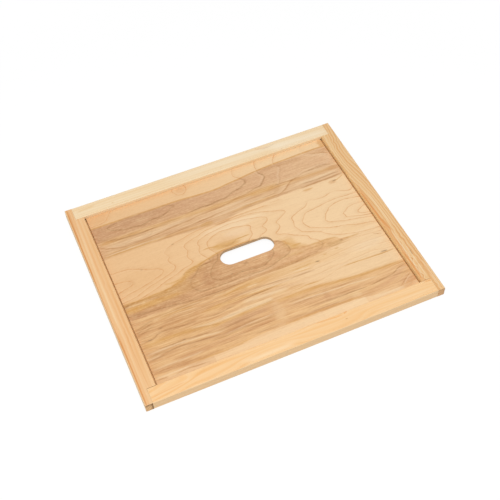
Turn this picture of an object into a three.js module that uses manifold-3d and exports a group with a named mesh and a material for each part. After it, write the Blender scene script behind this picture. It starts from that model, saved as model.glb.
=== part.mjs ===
// Inner cover of a ten-frame beehive, in millimetres.
// A sheet of plywood with a slot in its middle is held between two side rails and two end rails.
// +X runs along the long side, +Z is up, and the origin is at the middle of the underside.

import * as THREE from "three";
import { mergeVertices } from "three/addons/utils/BufferGeometryUtils.js";
import Module from "manifold-3d";

const wasm = await Module();
wasm.setup();

// Outside of the frame
const LENGTH = 505;
const DEPTH = 413;
const THICKNESS = 17;

// Rails, as wide as their tops show
const SIDE_RAIL_WIDTH = 26.5;
const END_RAIL_WIDTH = 26.5;
const EDGE_EASE = 0.5; // flat planed off the long edges

// Corner joint: each side rail keeps an outer tongue that laps the end rail's end
const TONGUE = 12;
const JOINT_GAP = 0.2; // glue line between two rails

// Plywood panel, from its plies
const FACE_VENEER = 0.6; // top and bottom sheets
const CROSSBAND = 1.4; // the two crosswise sheets under them
const CORE = 1.6;
const GLUE_LINE = 0.1;
const PANEL_RECESS = 6.5; // from the rails' tops down to the panel

// How the rails hold the panel
const GROOVE_DEPTH = 8; // in the end rails
const SWELL_ROOM = 1; // left at the bottom of each groove
const PANEL_FIT = 0.15; // over and under the panel
const END_GAP = 2.7; // open strip between the panel and a side rail
const LEDGE_BEARING = 7.3; // of the side rail's ledge under the panel

// Slot for the bees and for a bee escape
const SLOT_LENGTH = 95;
const SLOT_WIDTH = 32;
const ARC_STEPS = 24; // of each round end

// Staples: narrow crown, driven through the tongue into the end rail
const CROWN = 6.35;
const LEG = 32;
const WIRE_WIDTH = 1.25;
const WIRE_THICKNESS = 1;
const CHISEL_POINT = 2;
const SET_DEPTH = 0.4; // of the crown below the rail's face
const STAPLE_FIT = 0.15; // round the wire
const STAPLE_PLACE_SHARES = { outer: 0.32, inner: 0.72 }; // of the wood behind the groove

const OVERRUN = 5; // of a cut past the face that it opens

// Heights and spans that follow
const PANEL_TOP = THICKNESS - PANEL_RECESS;
const PANEL_THICKNESS = 2 * (FACE_VENEER + CROSSBAND + 2 * GLUE_LINE) + CORE;
const PANEL_BOTTOM = PANEL_TOP - PANEL_THICKNESS;
const LEDGE_TOP = PANEL_BOTTOM - PANEL_FIT;
const LEDGE_WIDTH = END_GAP + LEDGE_BEARING;
const GROOVE_TOP = PANEL_TOP + PANEL_FIT;
const PANEL_LENGTH = LENGTH - 2 * (SIDE_RAIL_WIDTH + END_GAP);
const PANEL_DEPTH = DEPTH - 2 * (END_RAIL_WIDTH - GROOVE_DEPTH + SWELL_ROOM);
const END_RAIL_LENGTH = LENGTH - 2 * (TONGUE + JOINT_GAP);
const WOOD_BEHIND_GROOVE = END_RAIL_WIDTH - GROOVE_DEPTH;

function wood(color) {
  return new THREE.MeshStandardMaterial({ color, roughness: 0.62, metalness: 0 });
}

const sidePine = wood("#ecc08c");
const frontPine = wood("#f7c88c");
const backPine = wood("#f4d8b2");
const faceVeneer = wood("#e4ba8c");
const crossVeneer = wood("#b98f62");
const coreVeneer = wood("#d9b485");
const backVeneer = wood("#e6c49a");
const stapleSteel = new THREE.MeshStandardMaterial({ color: "#b4b6b8", roughness: 0.35, metalness: 1 });

// A closed geometry as a solid for cutting and joining
function solidOf(geometry) {
  const bare = geometry.clone();
  bare.deleteAttribute("normal");
  bare.deleteAttribute("uv");
  const merged = mergeVertices(bare);
  const vertProperties = merged.attributes.position.array;
  const triVerts = new Uint32Array(merged.index.array);
  return new wasm.Manifold(new wasm.Mesh({ numProp: 3, vertProperties, triVerts }));
}

// A cut solid as a geometry with flat faces
function geometryOf(solid) {
  const { vertProperties, triVerts } = solid.getMesh();
  const shared = new THREE.BufferGeometry();
  shared.setAttribute("position", new THREE.BufferAttribute(vertProperties, 3));
  shared.setIndex(new THREE.BufferAttribute(triVerts, 1));
  const faceted = shared.toNonIndexed();
  faceted.computeVertexNormals();
  return faceted;
}

// A box between two opposite corners, turned about the object's middle, as a solid
function block(lowX, highX, lowY, highY, lowZ, highZ, turn = 0) {
  const box = new THREE.BoxGeometry(highX - lowX, highY - lowY, highZ - lowZ);
  box.translate((lowX + highX) / 2, (lowY + highY) / 2, (lowZ + highZ) / 2);
  box.rotateZ(turn);
  return solidOf(box);
}

function outline(points) {
  return new THREE.Shape(points.map(([across, up]) => new THREE.Vector2(across, up)));
}

// A rail's section drawn from its outer face inwards, run out to its length and centred on it
function railStock(points, length) {
  const stock = new THREE.ExtrudeGeometry(outline(points), { depth: length, bevelEnabled: false });
  stock.translate(0, 0, -length / 2);
  return stock;
}

// Side rail section: the full rail, then the ledge that runs in under the panel
function sideRailSection() {
  const inner = SIDE_RAIL_WIDTH;
  const ledge = SIDE_RAIL_WIDTH + LEDGE_WIDTH;
  return [
    [EDGE_EASE, 0],
    [ledge, 0],
    [ledge, LEDGE_TOP],
    [inner, LEDGE_TOP],
    [inner, THICKNESS - EDGE_EASE],
    [inner - EDGE_EASE, THICKNESS],
    [EDGE_EASE, THICKNESS],
    [0, THICKNESS - EDGE_EASE],
    [0, EDGE_EASE],
  ];
}

// End rail section: a rail with the panel's groove along its inner face
function endRailSection() {
  const inner = END_RAIL_WIDTH;
  return [
    [EDGE_EASE, 0],
    [inner - EDGE_EASE, 0],
    [inner, EDGE_EASE],
    [inner, LEDGE_TOP],
    [WOOD_BEHIND_GROOVE, LEDGE_TOP],
    [WOOD_BEHIND_GROOVE, GROOVE_TOP],
    [inner, GROOVE_TOP],
    [inner, THICKNESS - EDGE_EASE],
    [inner - EDGE_EASE, THICKNESS],
    [EDGE_EASE, THICKNESS],
    [0, THICKNESS - EDGE_EASE],
    [0, EDGE_EASE],
  ];
}

// Where the staples stand along a side rail, by the names of its corner and place
function staplePlaces() {
  const places = [];
  for (const [corner, side] of [["near", -1], ["far", 1]]) {
    for (const [place, share] of Object.entries(STAPLE_PLACE_SHARES)) {
      places.push({ corner, place, y: side * (DEPTH / 2 - share * WOOD_BEHIND_GROOVE) });
    }
  }
  return places;
}

// The room that one staple takes in the wood: its crown's pocket and a hole for each leg.
// The turn brings a staple of the left rail to its twin in the right rail.
function staplePocket(y, turn = 0) {
  const face = -LENGTH / 2;
  const middle = THICKNESS / 2;
  const halfWire = WIRE_WIDTH / 2 + STAPLE_FIT;
  const crownBack = face + SET_DEPTH + WIRE_THICKNESS + STAPLE_FIT;
  const tip = face + SET_DEPTH + LEG + STAPLE_FIT;
  const high = CROWN / 2 + STAPLE_FIT;
  const low = CROWN / 2 - WIRE_THICKNESS - STAPLE_FIT;
  const near = y - halfWire;
  const far = y + halfWire;
  const crown = block(face - OVERRUN, crownBack, near, far, middle - high, middle + high, turn);
  const upperLeg = block(face, tip, near, far, middle + low, middle + high, turn);
  const lowerLeg = block(face, tip, near, far, middle - high, middle - low, turn);
  return crown.add(upperLeg).add(lowerLeg);
}

// Side rail at the left, with its end rabbets and its staples' pockets
function sideRail() {
  const stock = railStock(sideRailSection(), DEPTH);
  stock.rotateX(Math.PI / 2);
  stock.translate(-LENGTH / 2, 0, 0);
  const shoulder = DEPTH / 2 - END_RAIL_WIDTH - JOINT_GAP;
  const cheek = TONGUE - LENGTH / 2;
  const past = SIDE_RAIL_WIDTH + LEDGE_WIDTH + OVERRUN - LENGTH / 2;
  const end = DEPTH / 2 + OVERRUN;
  const top = THICKNESS + OVERRUN;
  let rail = solidOf(stock);
  rail = rail.subtract(block(cheek, past, -end, -shoulder, -OVERRUN, top));
  rail = rail.subtract(block(cheek, past, shoulder, end, -OVERRUN, top));
  for (const { y } of staplePlaces()) {
    rail = rail.subtract(staplePocket(y));
  }
  return geometryOf(rail);
}

// End rail at the front, with the holes of the staples that come in from both side rails
function endRail() {
  const stock = railStock(endRailSection(), END_RAIL_LENGTH);
  stock.rotateX(Math.PI / 2);
  stock.rotateZ(Math.PI / 2);
  stock.translate(0, -DEPTH / 2, 0);
  let rail = solidOf(stock);
  for (const { corner, y } of staplePlaces()) {
    rail = rail.subtract(staplePocket(y, corner === "near" ? 0 : Math.PI));
  }
  return geometryOf(rail);
}

// Staple with its crown upright at x = 0 and its legs along +X, each cut to a chisel point
function staple() {
  const half = CROWN / 2;
  const inside = half - WIRE_THICKNESS;
  const bend = outline([
    [0, -half],
    [LEG, -half],
    [LEG - CHISEL_POINT, -inside],
    [WIRE_THICKNESS, -inside],
    [WIRE_THICKNESS, inside],
    [LEG - CHISEL_POINT, inside],
    [LEG, half],
    [0, half],
  ]);
  const wire = new THREE.ExtrudeGeometry(bend, { depth: WIRE_WIDTH, bevelEnabled: false });
  wire.translate(0, 0, -WIRE_WIDTH / 2);
  wire.rotateX(Math.PI / 2);
  return wire;
}

// One sheet of the panel, with the slot through it
function ply(thickness) {
  const x = PANEL_LENGTH / 2;
  const y = PANEL_DEPTH / 2;
  const sheet = outline([[-x, -y], [x, -y], [x, y], [-x, y]]);
  const round = SLOT_WIDTH / 2;
  const centre = SLOT_LENGTH / 2 - round;
  const slot = new THREE.Path();
  slot.absarc(centre, 0, round, -Math.PI / 2, Math.PI / 2);
  slot.absarc(-centre, 0, round, Math.PI / 2, Math.PI * 3 / 2);
  sheet.holes.push(slot);
  const settings = { depth: thickness, bevelEnabled: false, curveSegments: ARC_STEPS };
  return new THREE.ExtrudeGeometry(sheet, settings);
}

function piece(name, geometry, material) {
  const mesh = new THREE.Mesh(geometry, material);
  mesh.name = name;
  return mesh;
}

// The five plies, laid up from the bottom with a glue line between each two
function panel() {
  const sheets = [
    ["panel_back_veneer", FACE_VENEER, backVeneer],
    ["panel_lower_crossband", CROSSBAND, crossVeneer],
    ["panel_core", CORE, coreVeneer],
    ["panel_upper_crossband", CROSSBAND, crossVeneer],
    ["panel_face_veneer", FACE_VENEER, faceVeneer],
  ];
  const group = new THREE.Group();
  let height = PANEL_BOTTOM;
  for (const [name, thickness, material] of sheets) {
    const sheet = piece(name, ply(thickness), material);
    sheet.position.z = height;
    group.add(sheet);
    height += thickness + GLUE_LINE;
  }
  return group;
}

// Half of the frame: a side rail with its four staples, and the end rail at its near end.
// The other half is the same, turned round.
function frameHalf(side, near, far, endMaterial) {
  const group = new THREE.Group();
  group.add(piece(`side_rail_${side}`, sideRail(), sidePine));
  group.add(piece(`end_rail_${near}`, endRail(), endMaterial));
  const corners = { near, far };
  for (const { corner, place, y } of staplePlaces()) {
    const fastener = piece(`staple_${side}_${corners[corner]}_${place}`, staple(), stapleSteel);
    fastener.position.set(SET_DEPTH - LENGTH / 2, y, THICKNESS / 2);
    group.add(fastener);
  }
  return group;
}

const innerCover = new THREE.Group();
innerCover.add(frameHalf("left", "front", "back", frontPine));
const otherHalf = frameHalf("right", "back", "front", backPine);
otherHalf.rotation.z = Math.PI;
innerCover.add(otherHalf);
innerCover.add(panel());

export default innerCover;
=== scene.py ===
import math
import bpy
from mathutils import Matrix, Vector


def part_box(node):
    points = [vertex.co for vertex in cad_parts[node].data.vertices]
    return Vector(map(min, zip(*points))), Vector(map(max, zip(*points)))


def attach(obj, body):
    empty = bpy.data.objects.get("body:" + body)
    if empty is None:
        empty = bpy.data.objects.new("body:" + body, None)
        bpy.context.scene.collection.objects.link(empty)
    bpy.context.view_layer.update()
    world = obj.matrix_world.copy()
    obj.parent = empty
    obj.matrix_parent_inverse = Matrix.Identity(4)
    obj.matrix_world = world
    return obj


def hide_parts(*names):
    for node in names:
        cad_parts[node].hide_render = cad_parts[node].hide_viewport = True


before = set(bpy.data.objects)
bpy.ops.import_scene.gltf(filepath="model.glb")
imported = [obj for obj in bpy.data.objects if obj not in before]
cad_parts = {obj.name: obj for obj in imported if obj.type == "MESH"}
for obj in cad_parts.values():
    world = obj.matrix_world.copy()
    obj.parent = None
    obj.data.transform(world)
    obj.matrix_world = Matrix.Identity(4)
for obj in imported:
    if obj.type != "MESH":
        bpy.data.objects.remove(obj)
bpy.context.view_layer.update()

from types import SimpleNamespace

import bmesh
import bpy
import numpy as np
from mathutils import Matrix, Vector, noise

MM = 0.001

# Side rails
# The two full-depth rails of the frame, planed softwood left bare. A rabbet at each end leaves a tongue
# that laps the end rail, and a ledge low on the inner side carries the panel's end. Glued and stapled.


class Signal:
    """An output of a node tree, so that a sum of nodes can be written as a sum."""

    def __init__(self, tree, socket):
        self.tree = tree
        self.socket = socket

    def math(self, operation, *others):
        values = dict(enumerate((self, *others)))
        return outlet(self.tree, "Math", values, operation=operation)

    def __add__(self, other):
        return self.math("ADD", other)

    def __sub__(self, other):
        return self.math("SUBTRACT", other)

    def __rsub__(self, other):
        return (self * -1).math("ADD", other)

    def __mul__(self, other):
        return self.math("MULTIPLY", other)

    def __truediv__(self, other):
        return self.math("DIVIDE", other)

    __radd__ = __add__

    def power(self, other):
        return self.math("POWER", other)

    def part(self):
        """What is left above the last whole number."""
        return self.math("FRACT")

    def rise(self, low, high):
        """0 below low, 1 above high, and a smooth way between them."""
        return outlet(self.tree, "MapRange", {"Value": self, "From Min": low, "From Max": high},
                      "Result", interpolation_type="SMOOTHSTEP")

    def bell(self, width):
        """1 where the value is zero, falling off over the width on both sides."""
        return ((self / width).power(2) * -1).math("EXPONENT")


def plug(value, place):
    """Links a signal to an input, or sets the input to a plain value."""
    if isinstance(value, Signal):
        value.tree.links.new(value.socket, place)
    else:
        place.default_value = value


def put(tree, kind, values=None, family="ShaderNode", **settings):
    """A node with its settings made and its inputs set or linked by name or number."""
    made = tree.nodes.new(family + kind)
    for name, setting in settings.items():
        setattr(made, name, setting)
    for name, value in (values or {}).items():
        plug(value, made.inputs[name])
    return made


def outlet(tree, kind, values=None, place=0, **settings):
    """One output of a new node."""
    return Signal(tree, put(tree, kind, values, **settings).outputs[place])


def tree_of(*values):
    """The tree that the first signal among the values is in."""
    return next(value.tree for value in values if isinstance(value, Signal))


def effect(name, **inputs):
    """Makes a shared node group from a rule that turns inputs into named masks, and gives back the
    function that places it. An input starts at the value given here, and a tuple makes it a vector."""
    def shared(rule):
        group = bpy.data.node_groups.new(name, "ShaderNodeTree")
        for socket, start in inputs.items():
            kind = "NodeSocketVector" if isinstance(start, tuple) else "NodeSocketFloat"
            group.interface.new_socket(socket, in_out="INPUT", socket_type=kind).default_value = start
        enter = group.nodes.new("NodeGroupInput")
        masks = rule(*(Signal(group, enter.outputs[socket]) for socket in inputs))
        for socket in masks:
            group.interface.new_socket(socket, in_out="OUTPUT", socket_type="NodeSocketFloat")
        leave = group.nodes.new("NodeGroupOutput")
        for socket, mask in masks.items():
            plug(mask, leave.inputs[socket])

        def placed(*values):
            made = put(tree_of(*values), "Group", node_tree=group)
            for value, place in zip(values, made.inputs):
                plug(value, place)
            return SimpleNamespace(**{out.name: Signal(tree_of(*values), out) for out in made.outputs})
        return placed
    return shared


def split(vector):
    return [Signal(vector.tree, place) for place in put(vector.tree, "SeparateXYZ", {0: vector}).outputs]


def join(*values):
    return outlet(tree_of(*values), "CombineXYZ", dict(enumerate(values)))


def cloud(x, y, z, detail=2.0, roughness=0.5):
    """Soft noise from -0.5 to 0.5, with features about one unit across."""
    settings = {"Vector": join(x, y, z), "Scale": 1.0, "Detail": detail, "Roughness": roughness}
    return outlet(x.tree, "TexNoise", settings, "Fac") - 0.5


def tint(code):
    """A written colour such as e8b98a, as the linear values that the shader wants."""
    values = [int(code[i:i + 2], 16) / 255 for i in (0, 2, 4)]
    linear = [v / 12.92 if v <= 0.04045 else ((v + 0.055) / 1.055) ** 2.4 for v in values]
    return (*linear, 1.0)


def blend(amount, under, over):
    """The colour over laid on the colour under by that amount. Colours may be written as codes."""
    under, over = (tint(colour) if isinstance(colour, str) else colour for colour in (under, over))
    values = {0: amount, 6: under, 7: over}
    return outlet(tree_of(amount, under, over), "Mix", values, 2, data_type="RGBA")


def cleared(holder):
    """The node tree of a new material or world, emptied."""
    holder.use_nodes = True
    holder.node_tree.nodes.clear()
    return holder.node_tree


def new_surface(name, roughness):
    """A material, its shader, and the place on the piece in millimetres."""
    material = bpy.data.materials.new(name)
    tree = cleared(material)
    shader = put(tree, "BsdfPrincipled", {"Roughness": roughness, "Specular IOR Level": 0.35})
    put(tree, "OutputMaterial", {"Surface": Signal(tree, shader.outputs[0])})
    where = outlet(tree, "TexCoord", place="Object")
    place = outlet(tree, "VectorMath", {0: where, "Scale": 1 / MM}, operation="SCALE")
    return material, shader, split(place)


def paint(shader, tone, height, depth_mm, strength):
    """Gives a shader its colour and raises its surface by a height of 0 to 1, up to that depth."""
    plug(tone, shader.inputs["Base Color"])
    settings = {"Height": height, "Distance": depth_mm * MM, "Strength": strength}
    plug(outlet(height.tree, "Bump", settings), shader.inputs["Normal"])


@effect("wood fibre", along=0.0, across=0.0, up=0.0, thread=0.5)
def fibre(along, across, up, thread):
    """Wood fibre along the first axis: fine threads, broad drifts of tone, and short dark pores."""
    dashes = cloud(along / 5, across / 0.35, up / 0.35, 1)
    return {"fine": cloud(along / 26, across / thread, up / thread, 4, 0.65),
            "broad": cloud(along / 170, across / 7, up / 7, 3),
            "pores": dashes.rise(0.14, 0.3)}


@effect("softwood rings", number=0.0, soft=0.0)
def softwood(number, soft):
    """A softwood's growth rings from its ring numbers: pale early wood that darkens, then a sharp end."""
    turn = number.part()
    sharp = turn.rise(0.3, 0.9).power(2) * (1 - turn.rise(0.92, 1.0))
    broad = turn.rise(0.2, 0.75) * (1 - turn.rise(0.75, 1.0))
    return {"late": sharp + (broad - sharp) * soft,
            "early": 1 - (turn - 0.12).math("ABSOLUTE").rise(0.0, 0.2),
            "tone": cloud(number.math("FLOOR") * 3.7, 0.0, 0.0, 0)}


@effect("edge distance", x=0.0, y=0.0, z=0.0, low=(0.0, 0.0, 0.0), high=(1.0, 1.0, 1.0))
def edge_distance(x, y, z, low, high):
    """How near a point of a box's surface is to the box's nearest edge, in millimetres."""
    gaps = []
    for place, start, end in zip((x, y, z), split(low), split(high)):
        gaps.append((place - start).math("MINIMUM", end - place))
    small = gaps[0].math("MINIMUM", gaps[1])
    large = gaps[0].math("MAXIMUM", gaps[1])
    return {"distance": small.math("MAXIMUM", large.math("MINIMUM", gaps[2]))}


@effect("streak", x=0.0, y=0.0, start=-10.0, end=10.0, level=0.0, slope=0.0, bow=0.0, width=1.0)
def streak(x, y, start, end, level, slope, bow, width):
    """A streak along the grain between two ends, which may slope and bow."""
    along = (x - (start + end) / 2) / ((end - start) / 2)
    body = (y - (level + along * slope + along.power(2) * bow)).bell(width)
    return {"mask": body * (1 - along.math("ABSOLUTE").rise(0.55, 1.05))}


def added(masks):
    """The sum of some masks, at most 1."""
    first, *others = masks
    return sum(others, first).math("MINIMUM", 1.0)


def laid_streaks(x, y, rows):
    """Streaks as listed, added up. A row gives the ends, the level, slope, bow, width and strength."""
    return added([streak(x, y, *course).mask * strength for *course, strength in rows])


def smooth_line(points, step):
    """A drawn line as a soft curve through its points, with a new point at about every step."""
    points = np.array(points, float)
    before = np.vstack([2 * points[0] - points[1], points[:-1]])
    after = np.vstack([points[1:], 2 * points[-1] - points[-2]])
    slope = (after - before) / 2
    made = []
    for i in range(len(points) - 1):
        count = max(1, int(np.linalg.norm(points[i + 1] - points[i]) / step))
        for t in np.arange(count) / count:
            made.append(
                points[i] * (2 * t**3 - 3 * t**2 + 1) + slope[i] * (t**3 - 2 * t**2 + t)
                + points[i + 1] * (3 * t**2 - 2 * t**3) + slope[i + 1] * (t**3 - t**2))
    return np.vstack(made + [points[-1]])


def ring_field(figure, places):
    """The gentlest surface that has each ring's number along that ring: its height and steepness.
    A step across the grain counts for more than one along it, so the surface is long along the grain."""
    along_and_across = np.array([1.0, 1.8]) / 100
    slack = 2e-4
    lines = [smooth_line(points, step=9.0) for number, points in figure]
    marks = np.vstack(lines) * along_and_across
    numbers = np.concatenate([np.full(len(line), ring[0]) for line, ring in zip(lines, figure)])

    def pull(points, mark):
        gap = points - mark
        square = (gap**2).sum(axis=1) + 1e-12
        return gap, square, np.log(square)

    count = len(marks)
    system = np.zeros((count + 3, count + 3))
    for i, mark in enumerate(marks):
        gap, square, log = pull(marks, mark)
        system[i, :count] = square * log
    system[:count, :count] += np.eye(count) * slack
    system[:count, count] = 1.0
    system[:count, count + 1:] = marks
    system[count:, :count] = system[:count, count:].T
    weights = np.linalg.solve(system, np.append(numbers, np.zeros(3)))
    scaled = places * along_and_across
    height = weights[count] + scaled @ weights[count + 1:]
    slope = np.tile(weights[count + 1:], (len(places), 1))
    for mark, weight in zip(marks, weights):
        gap, square, log = pull(scaled, mark)
        height += weight * square * log
        slope += gap * (2 * weight * (log + 1))[:, None]
    return height, np.linalg.norm(slope * along_and_across, axis=1)


def keep_figure(mesh, figure):
    """Gives each point of a mesh its ring number and how fast the rings follow each other there."""
    places = np.array([vertex.co[:2] for vertex in mesh.vertices]) / MM
    for label, values in zip(("ring", "steepness"), ring_field(figure, places)):
        mesh.attributes.new(label, "FLOAT", "POINT").data.foreach_set("value", values)


def figure_of(tree):
    """The ring number and the steepness that keep_figure has given the surface."""
    return [outlet(tree, "Attribute", place="Fac", attribute_name=label) for label in ("ring", "steepness")]


def pine(name, node, along, look, end_grain=False):
    """Bare softwood for one rail. along is the axis its length lies on; look holds its tones and marks."""
    material, shader, (x, y, z) = new_surface(name, 0.62)
    length, across = (x, y) if along == 0 else (y, x)
    low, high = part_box(node)
    depth = high.z / MM - z
    drawn, steep = figure_of(x.tree)
    waver = cloud(length / 60, across / 9, z / 9, 3) * look["waver"]
    number = drawn + waver * steep + depth * look["dip"]
    rings = softwood(number, look["soft"])
    threads = fibre(length, across, z, 0.6)
    tone = blend((threads.broad * 1.8 + 0.5).rise(0, 1), look["pale"], look["warm"])

    # Late wood, with a fainter ring between each two, and the cream of the early wood
    between = softwood(number * 2 + 0.4, look["soft"]).late * 0.35
    late = (rings.late * (rings.tone * 1.6 + 0.75) + between) * look["contrast"]
    late = late * (cloud(length / 70, number * 0.9, 0.0) * 1.6 + 0.9)
    fade_from, fade = look["fades"]
    late = late.math("MAXIMUM", 0.0) * (1 - (length - fade_from).rise(0, 90) * fade)
    tone = blend(late, tone, look["late"])
    tone = blend(rings.early * (threads.broad + 0.8) * look["cream"], tone, "f9e4c2")
    tone = blend((threads.fine * 2.2).rise(0, 1) * 0.12, tone, look["late"])

    # The planer's beat, the listed marks, the rubbed edges, painted shade on outer faces, painted light on
    # inner ones
    beat_length, beat_from, beat_share = look["chatter"]
    beat = ((length / beat_length).math("SINE") * 0.5 + 0.5) * (length - beat_from).rise(0, 70)
    tone = blend(beat * beat_share, tone, look["warm"])
    for colour, rows in look["marks"]:
        tone = blend(laid_streaks(length, across, rows), tone, colour)
    near = edge_distance(x, y, z, tuple(low / MM), tuple(high / MM)).distance
    tone = blend((1 - near.rise(0.1, 0.9)) * 0.3, tone, "f7dcb4")
    outer = look["outer"] - across if look["outer"] > 0 else across - look["outer"]
    # A painted shade: each rail's outer side face, and the top just beside it, takes the darker tone of
    # look["face"]
    outer_face_shade, share, reach = look["face"]
    tone = blend((1 - outer.rise(reach * 0.4, reach)) * share, tone, outer_face_shade)
    # Painted light: the inner faces and the ledges below the top are made paler and more orange
    tone = blend(outer.rise(25.6, 26.0) * depth.rise(0.4, 1.0) * look["inside"], tone, "ffd99c")
    if end_grain:
        ragged = depth + cloud(across / 3, z / 3, length) * 1.5
        speck = cloud(length, across / 1.3, z / 0.9, 3, 0.7)
        tone = blend(0.75, tone, look["end tone"])
        tone = blend((speck * 3 + rings.late * 0.8).rise(-0.3, 1.1) * 0.6, tone, "b4844e")
        # A painted shade: dull darkens the end grain along its top, in a narrow band and a broader fainter
        # one; the next line darkens it beside the joint
        dull = (1 - ragged.rise(0.6, 2.2)) * 0.45 + (1 - ragged.rise(3.0, 6.5)) * 0.42
        tone = blend(dull * look["end shade"], tone, "6c4724")
        tone = blend((across - look["end joint"]).bell(2.0) * look["end shade"], tone, "7a5530")
        shader.inputs["Roughness"].default_value = 0.85
    paint(shader, tone, late * 0.4 + threads.fine * 0.8 + 0.5, 0.1, 0.5)
    return material


def own(name, mesh, *materials):
    """A new object of the scene, at the origin, with its materials."""
    made = bpy.data.objects.new(name, mesh)
    bpy.context.scene.collection.objects.link(made)
    for material in materials:
        mesh.materials.append(material)
    return made


def merged_copy(node):
    """A node's solid as an editable shape with whole faces, in place of its loose triangles."""
    flat = math.radians(0.5)
    shape = bmesh.new()
    shape.from_mesh(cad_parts[node].data)
    bmesh.ops.remove_doubles(shape, verts=shape.verts, dist=0.002 * MM)
    bmesh.ops.dissolve_limit(shape, angle_limit=flat, verts=shape.verts, edges=shape.edges)
    return shape


def close_joint(shape, axis, face):
    """Lets the faces that meet the next rail reach half way over the glue line."""
    half_glue_line = 0.1 * MM
    for vertex in shape.verts:
        if abs(abs(vertex.co[axis]) - face) < 0.01 * MM:
            vertex.co[axis] += math.copysign(half_glue_line, vertex.co[axis])


def round_edges(shape, longer_than, radius, steps):
    """Rubs round the shape's outward corners that are longer than the given length."""
    corner = math.radians(20)
    edges = []
    for edge in shape.edges:
        if edge.is_convex and edge.calc_length() > longer_than and edge.calc_face_angle(0) > corner:
            edges.append(edge)
    bmesh.ops.bevel(shape, geom=edges, offset=radius, segments=steps, profile=0.5, affect="EDGES")


def slice_along(shape, axis, low, high, step):
    """Cuts every face across at even steps along the axis, so that the edges can waver."""
    count = int((high[axis] - low[axis]) / step)
    normal = Vector([1.0 if i == axis else 0.0 for i in range(3)])
    for i in range(1, count):
        station = normal * (low[axis] + (high[axis] - low[axis]) * i / count)
        every = shape.verts[:] + shape.edges[:] + shape.faces[:]
        bmesh.ops.bisect_plane(shape, geom=every, plane_co=station, plane_no=normal, dist=1e-7)


def is_slanted(face):
    return max(abs(c) for c in face.normal) < 0.99


def wear_edges(shape, rub, chip):
    """Moves the rounded edges inwards by a little everywhere and by a chip's depth in a few places."""
    moves = {}
    for vertex in shape.verts:
        slanted = [face for face in vertex.link_faces if is_slanted(face)]
        if not slanted:
            continue
        inward = -sum((face.normal for face in slanted), Vector()).normalized()
        place = vertex.co / MM
        soft = 0.5 + 0.5 * noise.noise(place / 9)
        rare = max(0.0, noise.noise(place / 5 + Vector((31, 7, 3))) - 0.42) * 2
        moves[vertex] = inward * (rub * soft + chip * rare)
    for vertex, move in moves.items():
        vertex.co += move


def finish_rail(name, node, along, look):
    """Makes one rail from its solid: eased edges, its figure, and end grain across its length."""
    shape = merged_copy(node)
    close_joint(shape, along, look["joint face"] * MM)
    round_edges(shape, longer_than=100 * MM, radius=0.22 * MM, steps=2)
    round_edges(shape, longer_than=10 * MM, radius=0.06 * MM, steps=1)
    low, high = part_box(node)
    slice_along(shape, along, low, high, step=6 * MM)
    slice_along(shape, 1 - along, low, high, step=3 * MM)
    wear_edges(shape, rub=0.05 * MM, chip=0.25 * MM)
    for face in shape.faces:
        shows_end_grain = abs(face.normal[along]) > 0.7
        face.material_index = int(shows_end_grain)
        face.smooth = is_slanted(face)
    mesh = bpy.data.meshes.new(name)
    shape.to_mesh(mesh)
    shape.free()
    keep_figure(mesh, look["figure"])
    piece = own(name, mesh, pine(name + " pine", node, along, look),
                pine(name + " end grain", node, along, look, end_grain=True))
    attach(piece, "root")
    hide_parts(node)


def turned(figure):
    """A figure drawn with the rail's length first, given back with x first."""
    return [(number, [(x, y) for y, x in points]) for number, points in figure]


LEFT_RAIL = {
    "pale": "f1ca98", "warm": "ecb983", "late": "dc9650", "contrast": 0.26, "dip": 0.13, "soft": 0.6,
    "fades": (0, 0.0), "face": ("e9cb9e", 0.7, 1.3), "inside": 0.5, "cream": 0.2, "waver": 1.0,
    "chatter": (0.7, -300, 0.12), "outer": -252.5, "end joint": -240.8, "end shade": 0.9,
    "end tone": "eec592", "joint face": 179.8,
    "figure": turned([
        (1, [(-206, -251), (-110, -250.3), (-70, -251), (-10, -251.8), (52, -251.5), (100, -250.6),
            (180, -249.8), (206, -246.5)]),
        (2, [(-206, -244.5), (-100, -244), (0, -245), (100, -243.5), (206, -241)]),
        (3, [(-206, -237.8), (-120, -238.5), (-85, -235), (-35, -236), (30, -236.5), (206, -235)]),
        (4, [(-206, -231), (0, -230.5), (206, -229)]), (5, [(-206, -222), (206, -221)])]),
    "marks": [
        ("d2873e", [(-230, -60, -249.8, 0.3, 0, 1.1, 0.85), (30, 230, -250.0, 0.8, 0.6, 1.2, 0.9),
            (-120, 80, -251.0, 0.2, 0, 0.8, 0.7), (120, 215, -247.6, 1.2, 0, 0.8, 0.4)]),
        ("f7d9b0", [(-60, 30, -243.5, 0.8, 0, 1.1, 0.3), (60, 190, -241, 1, 0, 1.0, 0.2)]),
        ("e4aa66", [(-206, 206, -231, 0.5, 0, 4.5, 0.28)]),
        ("e0a568", [(-190, -60, -237.6, -0.4, 0.6, 0.9, 0.6), (-90, 10, -233, 0.3, 0, 0.8, 0.4)])]}
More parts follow.
